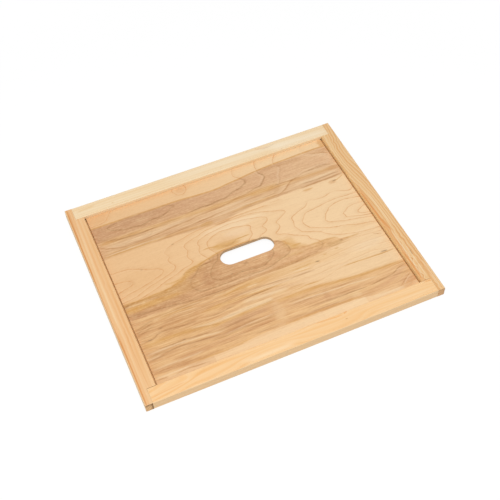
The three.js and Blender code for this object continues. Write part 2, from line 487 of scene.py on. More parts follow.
RIGHT_RAIL = {
    "pale": "f0cb96", "warm": "e8b87e", "late": "cf8943", "contrast": 0.62, "dip": 0.11, "soft": 0.3,
    "fades": (-50, 0.3), "face": ("d79a5a", 0.4, 0.9), "inside": 0.95, "cream": 0.4, "waver": 0.9,
    "chatter": (0.7, -300, 0.12), "outer": 252.5, "end joint": 252.5, "end shade": 0.25,
    "end tone": "e1b284", "joint face": 179.8,
    "figure": turned([
        (1, [(-206, 227.5), (-160, 229.8), (-122, 229.3), (-98, 230.6), (-60, 232.6), (-44, 231),
            (-20, 230), (0, 229), (25, 227.5), (42, 225.8)]),
        (2, [(-206, 231.2), (-140, 231.6), (-110, 232), (-80, 233.5), (-60, 235.5), (-25, 236.8),
            (0, 235.8), (25, 232.6), (50, 228.9), (70, 225.8)]),
        (2.5, [(-206, 238.8), (-150, 238.9), (-100, 238), (-60, 239.3)]),
        (3, [(-206, 246), (-145, 246), (-125, 244.5), (-100, 244), (-60, 243), (-25, 241.8), (0, 240.8),
            (25, 239.5), (41, 237), (60, 233.3), (80, 229.5), (100, 227.6), (120, 226.6), (150, 227.5),
            (206, 233)]),
        (4, [(-206, 250), (-172, 250.4), (-130, 249.3), (-98, 248.3), (-60, 247.3), (-25, 246.5), (0, 246),
            (25, 244), (50, 240.8), (70, 237), (95, 233.3), (112, 232), (131, 231.4), (147.5, 232.6),
            (169, 235.8), (206, 240)]),
        (5, [(-206, 253.5), (-98, 252.5), (-60, 251.5), (-25, 250.5), (0, 250), (12.5, 248.9),
            (37.5, 245.8), (62.5, 242.6), (81, 239.5), (100, 235.8), (120, 234.5), (141, 233.9),
            (157.5, 236.4), (175, 239.5), (206, 243.9)]),
        (6, [(-25, 253.5), (20, 252.5), (50, 250.8), (75, 247), (95, 242.6), (112.5, 240.8), (131, 239.5),
            (144, 240.8), (162.5, 243.9), (181, 246.4), (206, 248.9)]),
        (7, [(70, 254), (87.5, 251.4), (106, 247), (125, 244.5), (144, 245.8), (162.5, 248.9),
            (175, 251.4), (190, 253.5)])]),
    "marks": [
        ("df9a56", [(-206, 60, 228.4, 0.6, 0, 2.4, 0.5)]),
        ("dc8f48", [(-182, -110, 228.8, 0.4, 0, 0.9, 0.8), (-110, -85, 230.6, 0, 0, 0.7, 0.6),
            (-70, -35, 232.2, -1.6, 0, 1.0, 0.8), (-60, 45, 228, -1, 0, 1.6, 0.6),
            (-180, -130, 244.8, -0.8, 0, 0.7, 0.5)]),
        ("f8e2be", [(-180, -60, 232.5, 0.8, 0, 0.9, 0.6), (-180, -90, 238.6, 0.3, 0, 0.7, 0.6),
            (-60, 30, 238.8, -1.5, 0, 0.8, 0.5), (-206, -140, 247.6, 0.2, 0, 0.7, 0.5)]),
        ("a98258", [(-126, -115, 240, 0.2, 0, 1.0, 0.65)])]}
for side, look in (("left", LEFT_RAIL), ("right", RIGHT_RAIL)):
    finish_rail(side + "_side_rail", "side_rail_" + side, 1, look)

# End rails
# The front and back rails, planed softwood between the side rails' tongues, with a groove along the inner
# side for the panel. The front one is honey coloured with arched grain, the back one pale sapwood.

FRONT_RAIL = {
    "pale": "f7cf9c", "warm": "f4c78e", "late": "eba656", "contrast": 0.42, "dip": 0.12, "soft": 0.45,
    "fades": (-130, 0.4), "face": ("e8cca4", 0.4, 0.8), "inside": 0.3, "cream": 0.15, "waver": 0.9,
    "chatter": (0.6, -300, 0.1), "outer": -206.5, "end joint": -300.0, "end shade": 0.0,
    "end tone": "eec592", "joint face": 240.3,
    "figure": [
        (1, [(-241, -199.5), (-225, -196.2), (-205, -193.4), (-186.5, -191.5), (-178.8, -189),
            (-179.2, -182.6), (-179.6, -178)]),
        (2, [(-241, -205), (-215, -203), (-178, -195.7), (-159, -191.5), (-137, -189.5), (-110, -188),
            (-80, -187.6), (-40, -187), (0, -189), (30, -191), (66, -192), (100, -189), (140, -187.5),
            (200, -189), (241, -191)]),
        (1, [(-100, -178), (-63, -183.5), (-45, -183.2), (-14, -184.8), (12, -183.8), (30, -182),
            (53.5, -182.6), (66, -185), (78, -185), (87, -183.4), (91, -179)]),
        (1, [(120, -178), (170, -183), (232, -181.5), (241, -186)]),
        (3, [(-150, -206), (-139, -203.4), (-125, -201.4), (-106.5, -198), (-94, -194.2), (-79, -191.8),
            (-60, -190.3), (-40, -190), (-25, -191), (-11, -193), (4, -197.2), (40, -203), (60, -207)]),
        (3, [(75, -207), (93.5, -204), (107, -201), (115, -195), (127, -192.6), (140, -191.5), (155, -193),
            (190, -195), (241, -196)]),
        (4, [(-95, -207), (-70, -200), (-45, -197.5), (-20, -200), (0, -207)]),
        (4, [(110, -207), (150, -201), (241, -201)])],
    "marks": [
        ("e79a49", [(-245, -182, -195, 3.2, -0.8, 0.7, 0.5), (84, 92, -181.5, 1.5, 0, 1.4, 0.6),
            (34, 84, -183, -1.6, 0, 0.9, 0.5), (228, 242, -183, -1, 0, 1.4, 0.5)]),
        ("fbe0b9", [(-100, 0, -200, 0, 3, 3.5, 0.5), (100, 230, -186, -1, 0, 0.9, 0.4),
            (120, 240, -198, -0.5, 0, 0.9, 0.4)]),
        ("c98f54", [(82, 86.5, -193, 0, 0, 0.7, 0.7)])]}
BACK_RAIL = {
    "pale": "f7e0bb", "warm": "f2d3a6", "late": "e9bf84", "contrast": 0.34, "dip": 0.15, "soft": 0.5,
    "fades": (0, 0.0), "face": ("d3bb96", 0.4, 0.8), "inside": 0.0, "cream": 0.15, "waver": 1.2,
    "chatter": (0.57, 90, 0.45), "outer": 206.5, "end joint": -300.0, "end shade": 0.0,
    "end tone": "eec592", "joint face": 240.3,
    "figure": [
        (1, [(-241, 184), (-60, 186), (60, 185), (241, 182)]),
        (2, [(-241, 189), (-60, 191), (60, 190), (241, 188)]),
        (3, [(-241, 195), (-60, 196), (60, 196), (241, 194)]),
        (4, [(-241, 201), (-60, 202), (60, 203), (241, 201)])],
    "marks": [
        ("e2b183", [(100, 133, 198.5, -2, 0, 1.5, 0.6)]),
        ("b9a38c", [(112, 143, 197, 2.2, 1.2, 0.7, 0.6)]),
        ("dfb06e", [(-173, -169, 190, 0, 0, 0.8, 0.6), (29, 33, 188, 0, 0, 0.8, 0.6),
            (145, 149, 182, 0, 0, 0.8, 0.6), (-235, -200, 196, 1, 0, 1.6, 0.4)]),
        ("fbecd2", [(120, 250, 190, 0, 0, 8, 0.45), (-90, 190, 195, 0, 0, 9, 0.28)])]}
finish_rail("front_end_rail", "end_rail_front", 0, FRONT_RAIL)
finish_rail("back_end_rail", "end_rail_back", 0, BACK_RAIL)

# Plywood panel
# Five sheets of rotary cut veneer glued crosswise, with a slot routed through the middle. The face sheet
# runs along the board: pale sapwood, brown heartwood round the slot, and ring lines in nested loops.

SLOT_LENGTH = 95 * MM
SLOT_WIDTH = 32 * MM
SHEET_SPAN = 450.0
GRAIN_BROWN = "a87040"
GRAIN_CREAM = "f6d4a2"


def shape_tree(name, labels, **kinds):
    """The named inputs of a new geometry tree: lengths, save those whose kind is given."""
    tree = bpy.data.node_groups.new(name, "GeometryNodeTree")
    tree.interface.new_socket("Geometry", in_out="OUTPUT", socket_type="NodeSocketGeometry")
    for label in labels:
        kind = "NodeSocket" + kinds.get(label, "Float")
        tree.interface.new_socket(label, in_out="INPUT", socket_type=kind)
    enter = tree.nodes.new("NodeGroupInput")
    return [Signal(tree, enter.outputs[label]) for label in labels]


def form(kind, values, **settings):
    """What comes out of a new geometry node."""
    return outlet(tree_of(*values.values()), kind, values, family="GeometryNode", **settings)


def rectangle(width, height, radius, corner_points):
    """A rectangular outline with round corners."""
    sharp = form("CurvePrimitiveQuadrilateral", {"Width": width, "Height": height})
    return rounded(sharp, radius, corner_points)


def rounded(curve, radius, corner_points):
    return form("FilletCurve", {"Curve": curve, "Radius": radius, "Count": corner_points}, mode="POLY")


def together(*parts):
    """Several shapes as one."""
    both = put(parts[0].tree, "JoinGeometry", family="GeometryNode")
    for part in parts:
        plug(part, both.inputs[0])
    return Signal(parts[0].tree, both.outputs[0])


def welded(parts):
    return form("MergeByDistance", {"Geometry": parts, "Distance": 0.001 * MM})


def raised(part, height):
    return form("Transform", {"Geometry": part, "Translation": join(0.0, 0.0, height)})


def ended(parts, material):
    """Ends a tree with whole meshes in their material, and gives the tree back."""
    whole = form("RealizeInstances", {0: parts})
    covered = form("SetMaterial", {"Geometry": whole, "Material": material})
    plug(covered, parts.tree.nodes.new("NodeGroupOutput").inputs[0])
    return parts.tree


def ply_sheet():
    """Geometry tree of one ply: a sheet with points at an even pitch, less a slot with round ends."""
    length, depth, thick, bottom, pitch, slot_length, slot_width, veneer = shape_tree(
        "ply sheet", ("length", "depth", "thick", "bottom", "pitch", "slot length", "slot width", "veneer"),
        veneer="Material")
    sheet = form("MeshCube", {
        "Size": join(length, depth, thick), "Vertices X": length / pitch + 2.0,
        "Vertices Y": depth / pitch + 2.0})
    just_under_half = 0.4999
    outline = rectangle(slot_length, slot_width, slot_width * just_under_half, corner_points=24)
    base = form("FillCurve", {"Curve": outline}, mode="NGONS")
    walls = form("ExtrudeMesh", {"Mesh": base, "Offset": join(0.0, 0.0, thick * 3.0)})
    cutter = raised(welded(together(walls, form("FlipFaces", {"Mesh": base}))), thick * -1.5)
    parts = {"Mesh 1": sheet, "Mesh 2": cutter}
    cut = form("MeshBoolean", parts, operation="DIFFERENCE", solver="EXACT")
    return ended(raised(cut, bottom + thick * 0.5), veneer)


def grown(name, tree, values, start=None):
    """Runs a geometry tree on a new object and keeps its result as a plain mesh."""
    holder = own(name + "_tree", start or bpy.data.meshes.new(name + "_tree"))
    modifier = holder.modifiers.new("tree", "NODES")
    modifier.node_group = tree
    sockets = {s.name: s.identifier for s in tree.interface.items_tree if s.in_out == "INPUT"}
    for label, value in values.items():
        modifier[sockets[label]] = value
    graph = bpy.context.evaluated_depsgraph_get()
    mesh = bpy.data.meshes.new_from_object(holder.evaluated_get(graph))
    mesh.name = name
    bpy.data.objects.remove(holder)
    return own(name, mesh)


def ply(name, node, veneer, pitch=1.0, figure=()):
    """One sheet of the panel, as long, deep and thick as its node, with its figure's ring numbers."""
    low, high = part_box(node)
    length, depth, thick = high - low
    sheet = grown(name, ply_tree, {
        "length": length, "depth": depth, "thick": thick, "bottom": low.z, "pitch": pitch,
        "slot length": SLOT_LENGTH, "slot width": SLOT_WIDTH, "veneer": veneer})
    if figure:
        keep_figure(sheet.data, figure)
    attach(sheet, "root")
    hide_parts(node)


@effect("ring lines", field=0.0, steepness=0.1, width=0.6)
def ring_lines(field, steepness, width):
    """Thin lines where a field of ring numbers passes whole numbers, as wide where the rings are apart."""
    away = ((field + 0.5).part() - 0.5) / steepness.math("MAXIMUM", 0.015)
    return {"line": away.bell(width) * steepness.rise(0.006, 0.03),
            "early": (away - width * 2.2).bell(width * 1.2),
            "late": (away + width * 3).bell(width * 4)}


@effect("patch", x=0.0, y=0.0, middle_x=0.0, middle_y=0.0, half_x=30.0, half_y=10.0, fray=0.0)
def patch(x, y, middle_x, middle_y, half_x, half_y, fray):
    """A patch of another tone, longer along the grain, with an edge that frays into streaks."""
    along = ((x - middle_x) / half_x).power(2)
    across = ((y - middle_y) / half_y).power(2)
    return {"mask": 1 - ((along + across).math("SQRT") + fray).rise(0.55, 1.25)}


def lay_patches(x, y, fray, tone, rows):
    """Lays patches on a tone. A row gives the centre, the half sizes, the colour and how strong it is."""
    for *place, colour, strength in rows:
        tone = blend(patch(x, y, *place, fray).mask * strength, tone, colour)
    return tone


def draw_curve(curve, points):
    """Lays a curve node's curve through points; it starts with two of its own."""
    for i, (u, v) in enumerate(points):
        if i < 2:
            curve.points[i].location = (u, v)
        else:
            curve.points.new(u, v)


def follow(x, low, high, points):
    """A drawn line over the sheet: the height at x, smooth through the points, in millimetres."""
    made = put(x.tree, "FloatCurve", {"Value": x / SHEET_SPAN + 0.5})
    course = [(px / SHEET_SPAN + 0.5, (py - low) / (high - low)) for px, py in points]
    draw_curve(made.mapping.curves[0], course)
    made.mapping.update()
    return Signal(x.tree, made.outputs[0]) * (high - low) + low


def vary(tone, amount):
    """Darkens a tone like the grain where the amount is above zero, and lightens it where it is below."""
    return blend(amount * -1.2, blend(amount, tone, GRAIN_BROWN), GRAIN_CREAM)


def vectors(operation, *values, place="Vector"):
    return outlet(tree_of(*values), "VectorMath", dict(enumerate(values)), place, operation=operation)


def in_tracks(strokes, gap):
    """Strokes sorted into tracks of one width, where no two strokes are over the same stretch."""
    tracks = []
    for stroke in sorted(strokes, key=lambda stroke: (stroke[0], stroke[2][0][0])):
        for track in tracks:
            if track[0][0] == stroke[0] and track[-1][2][-1][0] + gap < stroke[2][0][0]:
                track.append(stroke)
                break
        else:
            tracks.append([stroke])
    return tracks


def pen_strokes(x, y, strokes, reach=460.0):
    """Strokes drawn along the grain, added up: each has its half width, its pressure and its points.
    The strokes of a track share a curve, and three tracks are worked out at once."""
    longest_fade, fade_share, run_on, sharpness = 0.06, 0.38, 0.01, 0.77
    along, across = (join(*[place / reach + 0.5] * 3) for place in (x, y))
    tracks = in_tracks(strokes, gap=14.0)
    masks = []
    for first_track in range(0, len(tracks), 3):
        trio = tracks[first_track:first_track + 3]
        course, press = (put(x.tree, "RGBCurve", {"Color": along}) for curve in range(2))
        for channel, track in enumerate(trio):
            levels, weights = [], []
            for width, pressure, points in track:
                placed = [(px / reach + 0.5, py / reach + 0.5) for px, py in points]
                (first, low), (last, high) = placed[0], placed[-1]
                fade = min(longest_fade, (last - first) * fade_share)
                levels += [(first - run_on, low), *placed, (last + run_on, high)]
                weights += [(first, 0.0), (first + fade, pressure), (last - fade, pressure), (last, 0.0)]
            draw_curve(course.mapping.curves[channel], levels)
            draw_curve(press.mapping.curves[channel], weights)
            for point in press.mapping.curves[channel].points:
                point.handle_type = "AUTO_CLAMPED"
        for made in (course, press):
            made.mapping.extend = "HORIZONTAL"
            made.mapping.update()
        scales = [reach / track[0][0] * sharpness for track in trio] + [0.0, 0.0]
        off = vectors("SUBTRACT", across, Signal(x.tree, course.outputs[0]))
        off = vectors("MULTIPLY", off, tuple(scales[:3]))
        spread = vectors("MULTIPLY_ADD", off, off, (1.0, 1.0, 1.0))
        body = vectors("DIVIDE", Signal(x.tree, press.outputs[0]), spread)
        body = vectors("DIVIDE", body, spread)
        there = tuple(1.0 if i < len(trio) else 0.0 for i in range(3))
        masks.append(vectors("DOT_PRODUCT", body, there, place="Value"))
    return added(masks)


# The face sheet's rings as they run over the sheet, in millimetres: a hollow round the slot, a hill at
# the left end and one at the right, a long hill at the back left, and even ridges towards the front
FACE_FIGURE = (
    (-0.5, [(-42, 29), (-20, 40), (8, 36)]), (-0.6, [(-55, -20), (-20, -12), (20, -14)]),
    (0, [(-56, 36), (-55, 43), (-49, 48), (-39, 53), (-26, 56), (0, 55), (10, 52.5), (20, 50), (26, 45),
        (23, 40), (22.5, 33), (21, 27), (15, 22.5)]),
    (0, [(-51, 5), (-59, -2), (-68, -11), (-73, -18), (-74, -24), (-72, -32), (-68, -35), (-59, -38),
        (-43, -39), (-26, -37), (0, -40), (12, -40), (22, -36), (30, -31), (37, -25), (39, -19)]),
    (1, [(-71, 22), (-73.5, 27), (-72, 34), (-69, 42), (-69, 50), (-64, 54), (-51, 59), (-34, 62),
        (-9, 65), (16, 64), (33, 60), (50, 57), (57.5, 52.5), (58, 48), (53, 42.5), (44, 37), (46, 32),
        (47, 27), (40, 22), (32, 19)]),
    (1, [(-64, 4), (-71, 4), (-79, 3), (-88, -2), (-94, -8), (-103, -14), (-108.5, -19), (-110.5, -25),
        (-110, -33), (-105, -40), (-96, -46), (-84, -47), (-68, -47.5), (-43, -47), (-26, -46), (0, -48.5),
        (17, -47.5), (33, -43), (45, -39), (55, -36), (63, -32), (66, -25), (65, -17), (62, -8),
        (56, -4)]),
    (2, [(-223, -24), (-190, -17), (-156, -7.5), (-143, -2), (-126, 3), (-109, 9), (-96, 12.5), (-90, 17),
        (-93, 23), (-95, 29), (-93, 35), (-90, 41.5), (-92, 48), (-92, 53), (-86, 57), (-76, 60),
        (-59, 65), (-43, 70), (0, 72), (25, 72), (38, 71), (50, 68), (63, 64), (75, 60), (87, 56),
        (92.5, 50), (87, 45), (75, 39), (69, 35), (71, 29), (71, 24), (65, 17.5), (57.5, 13), (63, 9),
        (73, 5), (78, 1), (92, -7), (103, -13), (106, -21), (115, -28), (119, -34), (119.5, -40),
        (117, -44), (107, -49), (93, -52.5), (67, -56), (33, -57.5), (0, -57), (-100, -57), (-150, -52),
        (-223, -44)]),
    (3, [(-223, -15), (-209, -14), (-193, -10), (-176, -3), (-159, 2), (-143, 6), (-126, 12), (-121, 17),
        (-120, 19), (-122, 25), (-126, 31), (-127, 36.5), (-122, 41), (-124, 47), (-127, 52), (-125, 56),
        (-119, 60), (-108, 64), (-93, 68), (-76, 72), (-59, 75), (-30, 76), (0, 76.5), (60, 76.5),
        (110, 73), (160, 67), (222, 63)]),
    (3, [(222, 51), (215, 47.5), (200, 52), (188, 56), (180, 56), (163, 52), (150, 52.5), (140, 56),
        (133, 50), (128, 46), (113, 40), (98, 34), (96, 30), (96, 22), (93, 12), (97, 5), (100, -2),
        (108, -6), (118, -10), (128, -15), (132.5, -21), (140, -27), (147, -31), (160, -36), (190, -44),
        (222, -47)]),
    (3, [(-223, -62), (-100, -66), (0, -66), (80, -63), (130, -57), (165, -51), (222, -55)]),
    (4, [(-223, -6), (-209, -2.5), (-184, 2.5), (-163, 8), (-149, 12.5), (-143.5, 16), (-141, 19),
        (-144, 24), (-151, 28), (-163, 31.5), (-173, 36.5), (-179, 40), (-189, 45), (-201, 47),
        (-223, 47.5)]),
    (4, [(222, 38), (183, 40), (158, 38), (142, 35), (125, 33), (119, 30), (115, 24), (111, 20), (110, 12),
        (113, 5), (120, -2), (133, -8), (142, -12.5), (158, -17), (175, -21), (192, -27), (208, -31),
        (223, -34)]),
    (4, [(-223, 84), (-150, 84), (-84, 82.5), (-59, 80), (-20, 80.5), (0, 82), (20, 85), (42, 86.5),
        (75, 87), (100, 87.5), (133, 88), (158, 87.5), (200, 88), (223, 90)]),
    (4, [(-223, -79), (-209, -76), (-196, -72.5), (-180, -71), (-154, -69.5), (-126, -70), (-109, -72),
        (-60, -72), (0, -74), (70, -76), (100, -72), (130, -68), (175, -65), (222, -66)]),
    (5, [(-223, 6), (-209, 10), (-199, 12.5), (-195, 17), (-197, 21), (-204, 24), (-222, 26)]),
    (5, [(222, 27.5), (200, 32), (183, 32), (167, 27), (157, 20), (151, 13), (148, 7.5), (150, -2),
        (153, -4), (167, -7.5), (183, -12), (223, -20.5)]),
    (5, [(-223, 90), (-150, 90), (-106, 87), (-79, 88), (-40, 88), (0, 88), (40, 89.5), (80, 89.5),
        (97, 89.5), (107, 92.5), (117, 98), (122.5, 103), (128, 107.5), (135, 111), (150, 115), (162, 119),
        (190, 120.5), (210, 120), (222, 127)]),
    (5, [(182, 182), (179, 168), (180, 162), (187, 157), (197, 153), (208, 150), (223, 143)]),
    (5, [(-223, -88), (-160, -85.5), (-109, -84), (-83, -81), (-74, -80), (-43, -80), (0, -81), (42, -83),
        (88, -82), (117, -80), (142, -77), (167, -75), (188, -75), (200, -78), (213, -80), (223, -81)]),
    (6, [(223, 15), (200, 15), (188, 9), (180, 4), (182.5, -1), (182, -5), (192, -8), (208, -12.5),
        (223, -16)]),
    (6, [(133, 182), (123, 170), (122, 157), (127.5, 149), (126, 142.5), (122.5, 137), (119, 131),
        (115, 120), (107, 110), (93, 106), (67, 103), (33, 100), (0, 96), (-34, 93), (-51, 92), (-70, 91),
        (-110, 92), (-150, 92), (-190, 92.5), (-205, 95), (-223, 99)]),
    (6, [(-223, -95.5), (-211, -97), (-206, -98), (-199, -97), (-191, -92.5), (-183, -91), (-171, -92),
        (-156, -94), (-146, -96), (-136, -96), (-123, -94), (-113, -95), (-101, -97), (-89, -97),
        (-81, -94.5), (-68, -93), (-53, -92), (-46, -90), (-34, -88), (0, -87), (42, -92), (87, -93),
        (103, -91), (155, -89), (183, -87), (200, -90), (222, -94)]),
    (7, [(223, 7), (212, 3), (205, -2), (207, -5), (217, -10), (223, -11)]),
    (7, [(91, 182), (88, 170), (87, 160), (87.5, 152.5), (92, 145), (94, 139), (90, 134), (83, 127),
        (78, 122), (67, 120), (55, 117.5), (42, 114), (25, 112), (10, 110), (0, 107.5), (-26, 106),
        (-43, 105), (-59, 102), (-73, 101), (-89, 100), (-106, 98), (-123, 96), (-139, 94.5), (-154, 93.5),
        (-171, 93.5), (-188, 95), (-201, 98), (-211, 102), (-221, 107)]),
    (7, [(-223, -108), (-150, -104.5), (-123, -106), (-60, -103), (0, -101), (42, -103), (90, -104),
        (123, -97), (150, -97), (173, -98), (198, -99), (222, -99)]),
    (8, [(48, 182), (44, 170), (44, 163), (48, 157.5), (54, 152), (58, 145), (57.5, 141), (52, 137),
        (42, 132.5), (25, 128), (13, 123), (0, 122), (-18, 119.5), (-34, 120), (-44, 119.5), (-53, 117.5),
        (-76, 114), (-93, 113), (-109, 112.5), (-139, 111), (-156, 110.5), (-173, 112), (-186, 113),
        (-196, 117), (-223, 119)]),
    (8, [(-223, -115), (-200, -118), (-188, -119.5), (-158, -119.5), (-111, -115), (-88, -115),
        (-51, -112), (0, -112.5), (75, -113.5), (92, -116), (133, -121), (183, -124), (223, -125)]),
    (8.5, [(-223, 140), (-205, 141)]), (8.5, [(-172, 156), (-60, 156), (0, 152), (20, 156)]),
    (8.4, [(-150, 168), (-120, 166), (-90, 168)]), (8.4, [(-20, 170), (10, 168)]),
    (9, [(-76, 144), (-84, 141), (-89, 136), (-96, 133), (-104, 130), (-118, 130), (-131, 128.5),
        (-139, 126), (-154, 128), (-168, 129), (-179, 132), (-188, 135), (-197, 142), (-186, 148),
        (-171, 151.5), (-120, 152), (-90, 151), (-76, 144)]),
    (9.5, [(-175, 141), (-140, 140), (-105, 141)]), (9, [(-179, 182), (-194, 161), (-223, 157)]),
    (9.5, [(-220, 172), (-200, 178)]),
    (9, [(-65, 180), (-65, 170), (-58, 163), (-53, 162), (-47, 165), (-43, 172), (-45, 180)]),
    (9.5, [(-56, 170), (-52, 176)]),
    (9, [(-223, -127), (-196, -127), (-168, -128), (-139, -130), (-109, -133), (-94, -134), (-26, -131),
        (30, -127), (75, -128.5), (142, -131), (180, -131), (222, -128)]),
    (10, [(-223, -137), (-150, -140), (-94, -143), (-46, -143), (-17, -143), (42, -145), (72, -146),
        (117, -147), (158, -148), (180, -145), (197, -142), (208, -136), (222, -134)]),
    (11, [(-223, -155), (-126, -160), (-60, -160), (0, -157), (100, -159), (160, -162), (193, -158),
        (222, -148)]),
    (12, [(-223, -172), (-126, -176), (-60, -173), (0, -171), (100, -173), (222, -168)]))

# The borders of the face sheet's zones from end to end, each after the lowest and highest that it may run:
# the heartwood's top and foot, then the edges of the back strip, the brown band, the streaks behind the
# heartwood, the middle streaks and the front streaks
FACE_BORDERS = (
    (-60, 40, [(-225, -18.7), (225, -46.5), (-193, -20.3), (-159, -18.7), (-143, -17), (-133, -14.2),
        (-119, -7.5), (-109, -0.8), (-99, 3.7), (-84, 7), (-68, 10.5), (-51, 14.8), (-38, 17), (20, 16.5),
        (40, 6), (47, -0.8), (55, -3), (64, -14), (75, -28.3), (87, -30.5), (93, -32.5), (107, -34.2),
        (127, -34.2), (137, -35.3), (145, -37.5), (155, -43), (183, -45.8)]),
    (-80, 0, [(-225, -53), (225, -46.5), (-160, -56), (-100, -59), (-67, -60.3), (-33, -57.8), (0, -57),
        (40, -58), (83, -57), (117, -54), (140, -52), (158, -47)]),
    (100, 180, [(-225, 153.7), (225, 163.3), (-163, 153), (-109, 152.3), (-66, 152.3), (-34, 150),
        (0, 148.7), (25, 151.3), (50, 154.2), (75, 157.5), (100, 159.7), (125, 161.3), (150, 162),
        (183, 163.3)]),
    (80, 160, [(-225, 119.5), (225, 118), (-126, 118.7), (-59, 116.8), (0, 118), (60, 120), (110, 119),
        (150, 117)]),
    (40, 120, [(-225, 80.5), (225, 86), (-150, 81), (-100, 80), (-59, 77), (-20, 76.5), (0, 78), (20, 82),
        (50, 85), (92, 85.5), (133, 86.5)]),
    (-160, -80, [(-225, -113), (225, -125), (-111, -114), (-51, -111.7), (0, -112), (75, -113),
        (92, -115.3), (133, -120.7)]),
    (-200, -120, [(-225, -163), (225, -172), (-126, -164.5), (-101, -165.3), (-84, -163.7), (-59, -161.2),
        (0, -160.7), (50, -161.2), (100, -162.3), (130, -165), (150, -168.5)]))

# Drifts of tone on the face sheet: the centre, the half sizes, the colour and how strong it is
FACE_PATCHES = (
    (-205, -34, 55, 6.5, "d89d46", 0.6), (-125, -26, 34, 12, "d2a063", 0.5),
    (-27, 27.5, 28, 8, "d39d4f", 0.7), (-20, 38, 22, 9, "e6bb8c", 0.45), (-40, 81, 13, 4, "d29d58", 0.7),
    (-175, 18, 55, 24, "e3b27a", 0.25), (0, 62, 60, 9, "fae1bc", 0.45), (0, 44, 24, 8, "f6d9b6", 0.35),
    (-175, -47, 60, 8, "c9946b", 0.3), (-165, -78, 70, 16, "c8925f", 0.48),
    (20, -66, 90, 8, "dfad6b", 0.4), (130, 155, 50, 4, "cb9a70", 0.4), (-137, 144, 48, 9, "bd8b64", 0.45),
    (-53, 172, 10, 8, "e3ae7a", 0.5), (-207, 170, 24, 12, "e7b27c", 0.55),
    (107, 134, 12, 15, "d0a078", 0.4), (180, 106, 55, 5, "d4a070", 0.6), (210, 108, 14, 5, "c99465", 0.6),
    (221, 171, 8, 9, "dba666", 0.7), (210, 153, 18, 5, "cd9b6c", 0.4), (197, 77, 9, 4, "d8a26c", 0.55),
    (149, 79, 9, 4, "e2b07c", 0.5), (-150, -62, 45, 4, "c48d52", 0.6), (138, -48, 17, 5, "cda268", 0.5),
    (-77, -27, 17, 12, "b87c50", 0.35), (34, -26, 8, 7, "c88a63", 0.3), (62, -39, 26, 3, "dfb27a", 0.6),
    (70, -16, 12, 14, "dcaa66", 0.5), (-198, 18, 6, 6, "dca874", 0.4), (-60, -52, 160, 5, "dba877", 0.6),
    (60, -55, 60, 4, "d7a469", 0.5), (-65, -121, 50, 6, "c4926a", 0.45),
    (140, -160, 14, 7, "cf9c68", 0.45), (162, -160, 30, 8, "d8a56e", 0.1),
    (0, -172, 240, 8, "f9dcb2", 0.4), (215, -163, 16, 7, "d39c70", 0.6), (207, -172, 12, 6, "dca66e", 0.5),
    (122, -156, 10, 6, "ebc696", 0.5), (-3, -133, 10, 18, "efcb9c", 0.35),
    (-25, -121, 8, 5, "c99a70", 0.3), (79, -136, 6, 12, "c48f66", 0.3),
    (-150, -137, 60, 5, "cf9a68", 0.35), (0, 100, 60, 6, "eec79c", 0.5),
    (110, -66, 42, 10, "e6b474", 0.22), (188, -30, 36, 9, "e6b474", 0.2),
    (185, -72, 32, 9, "fae3c2", 0.25), (100, -150, 32, 9, "f0cf9e", 0.25))

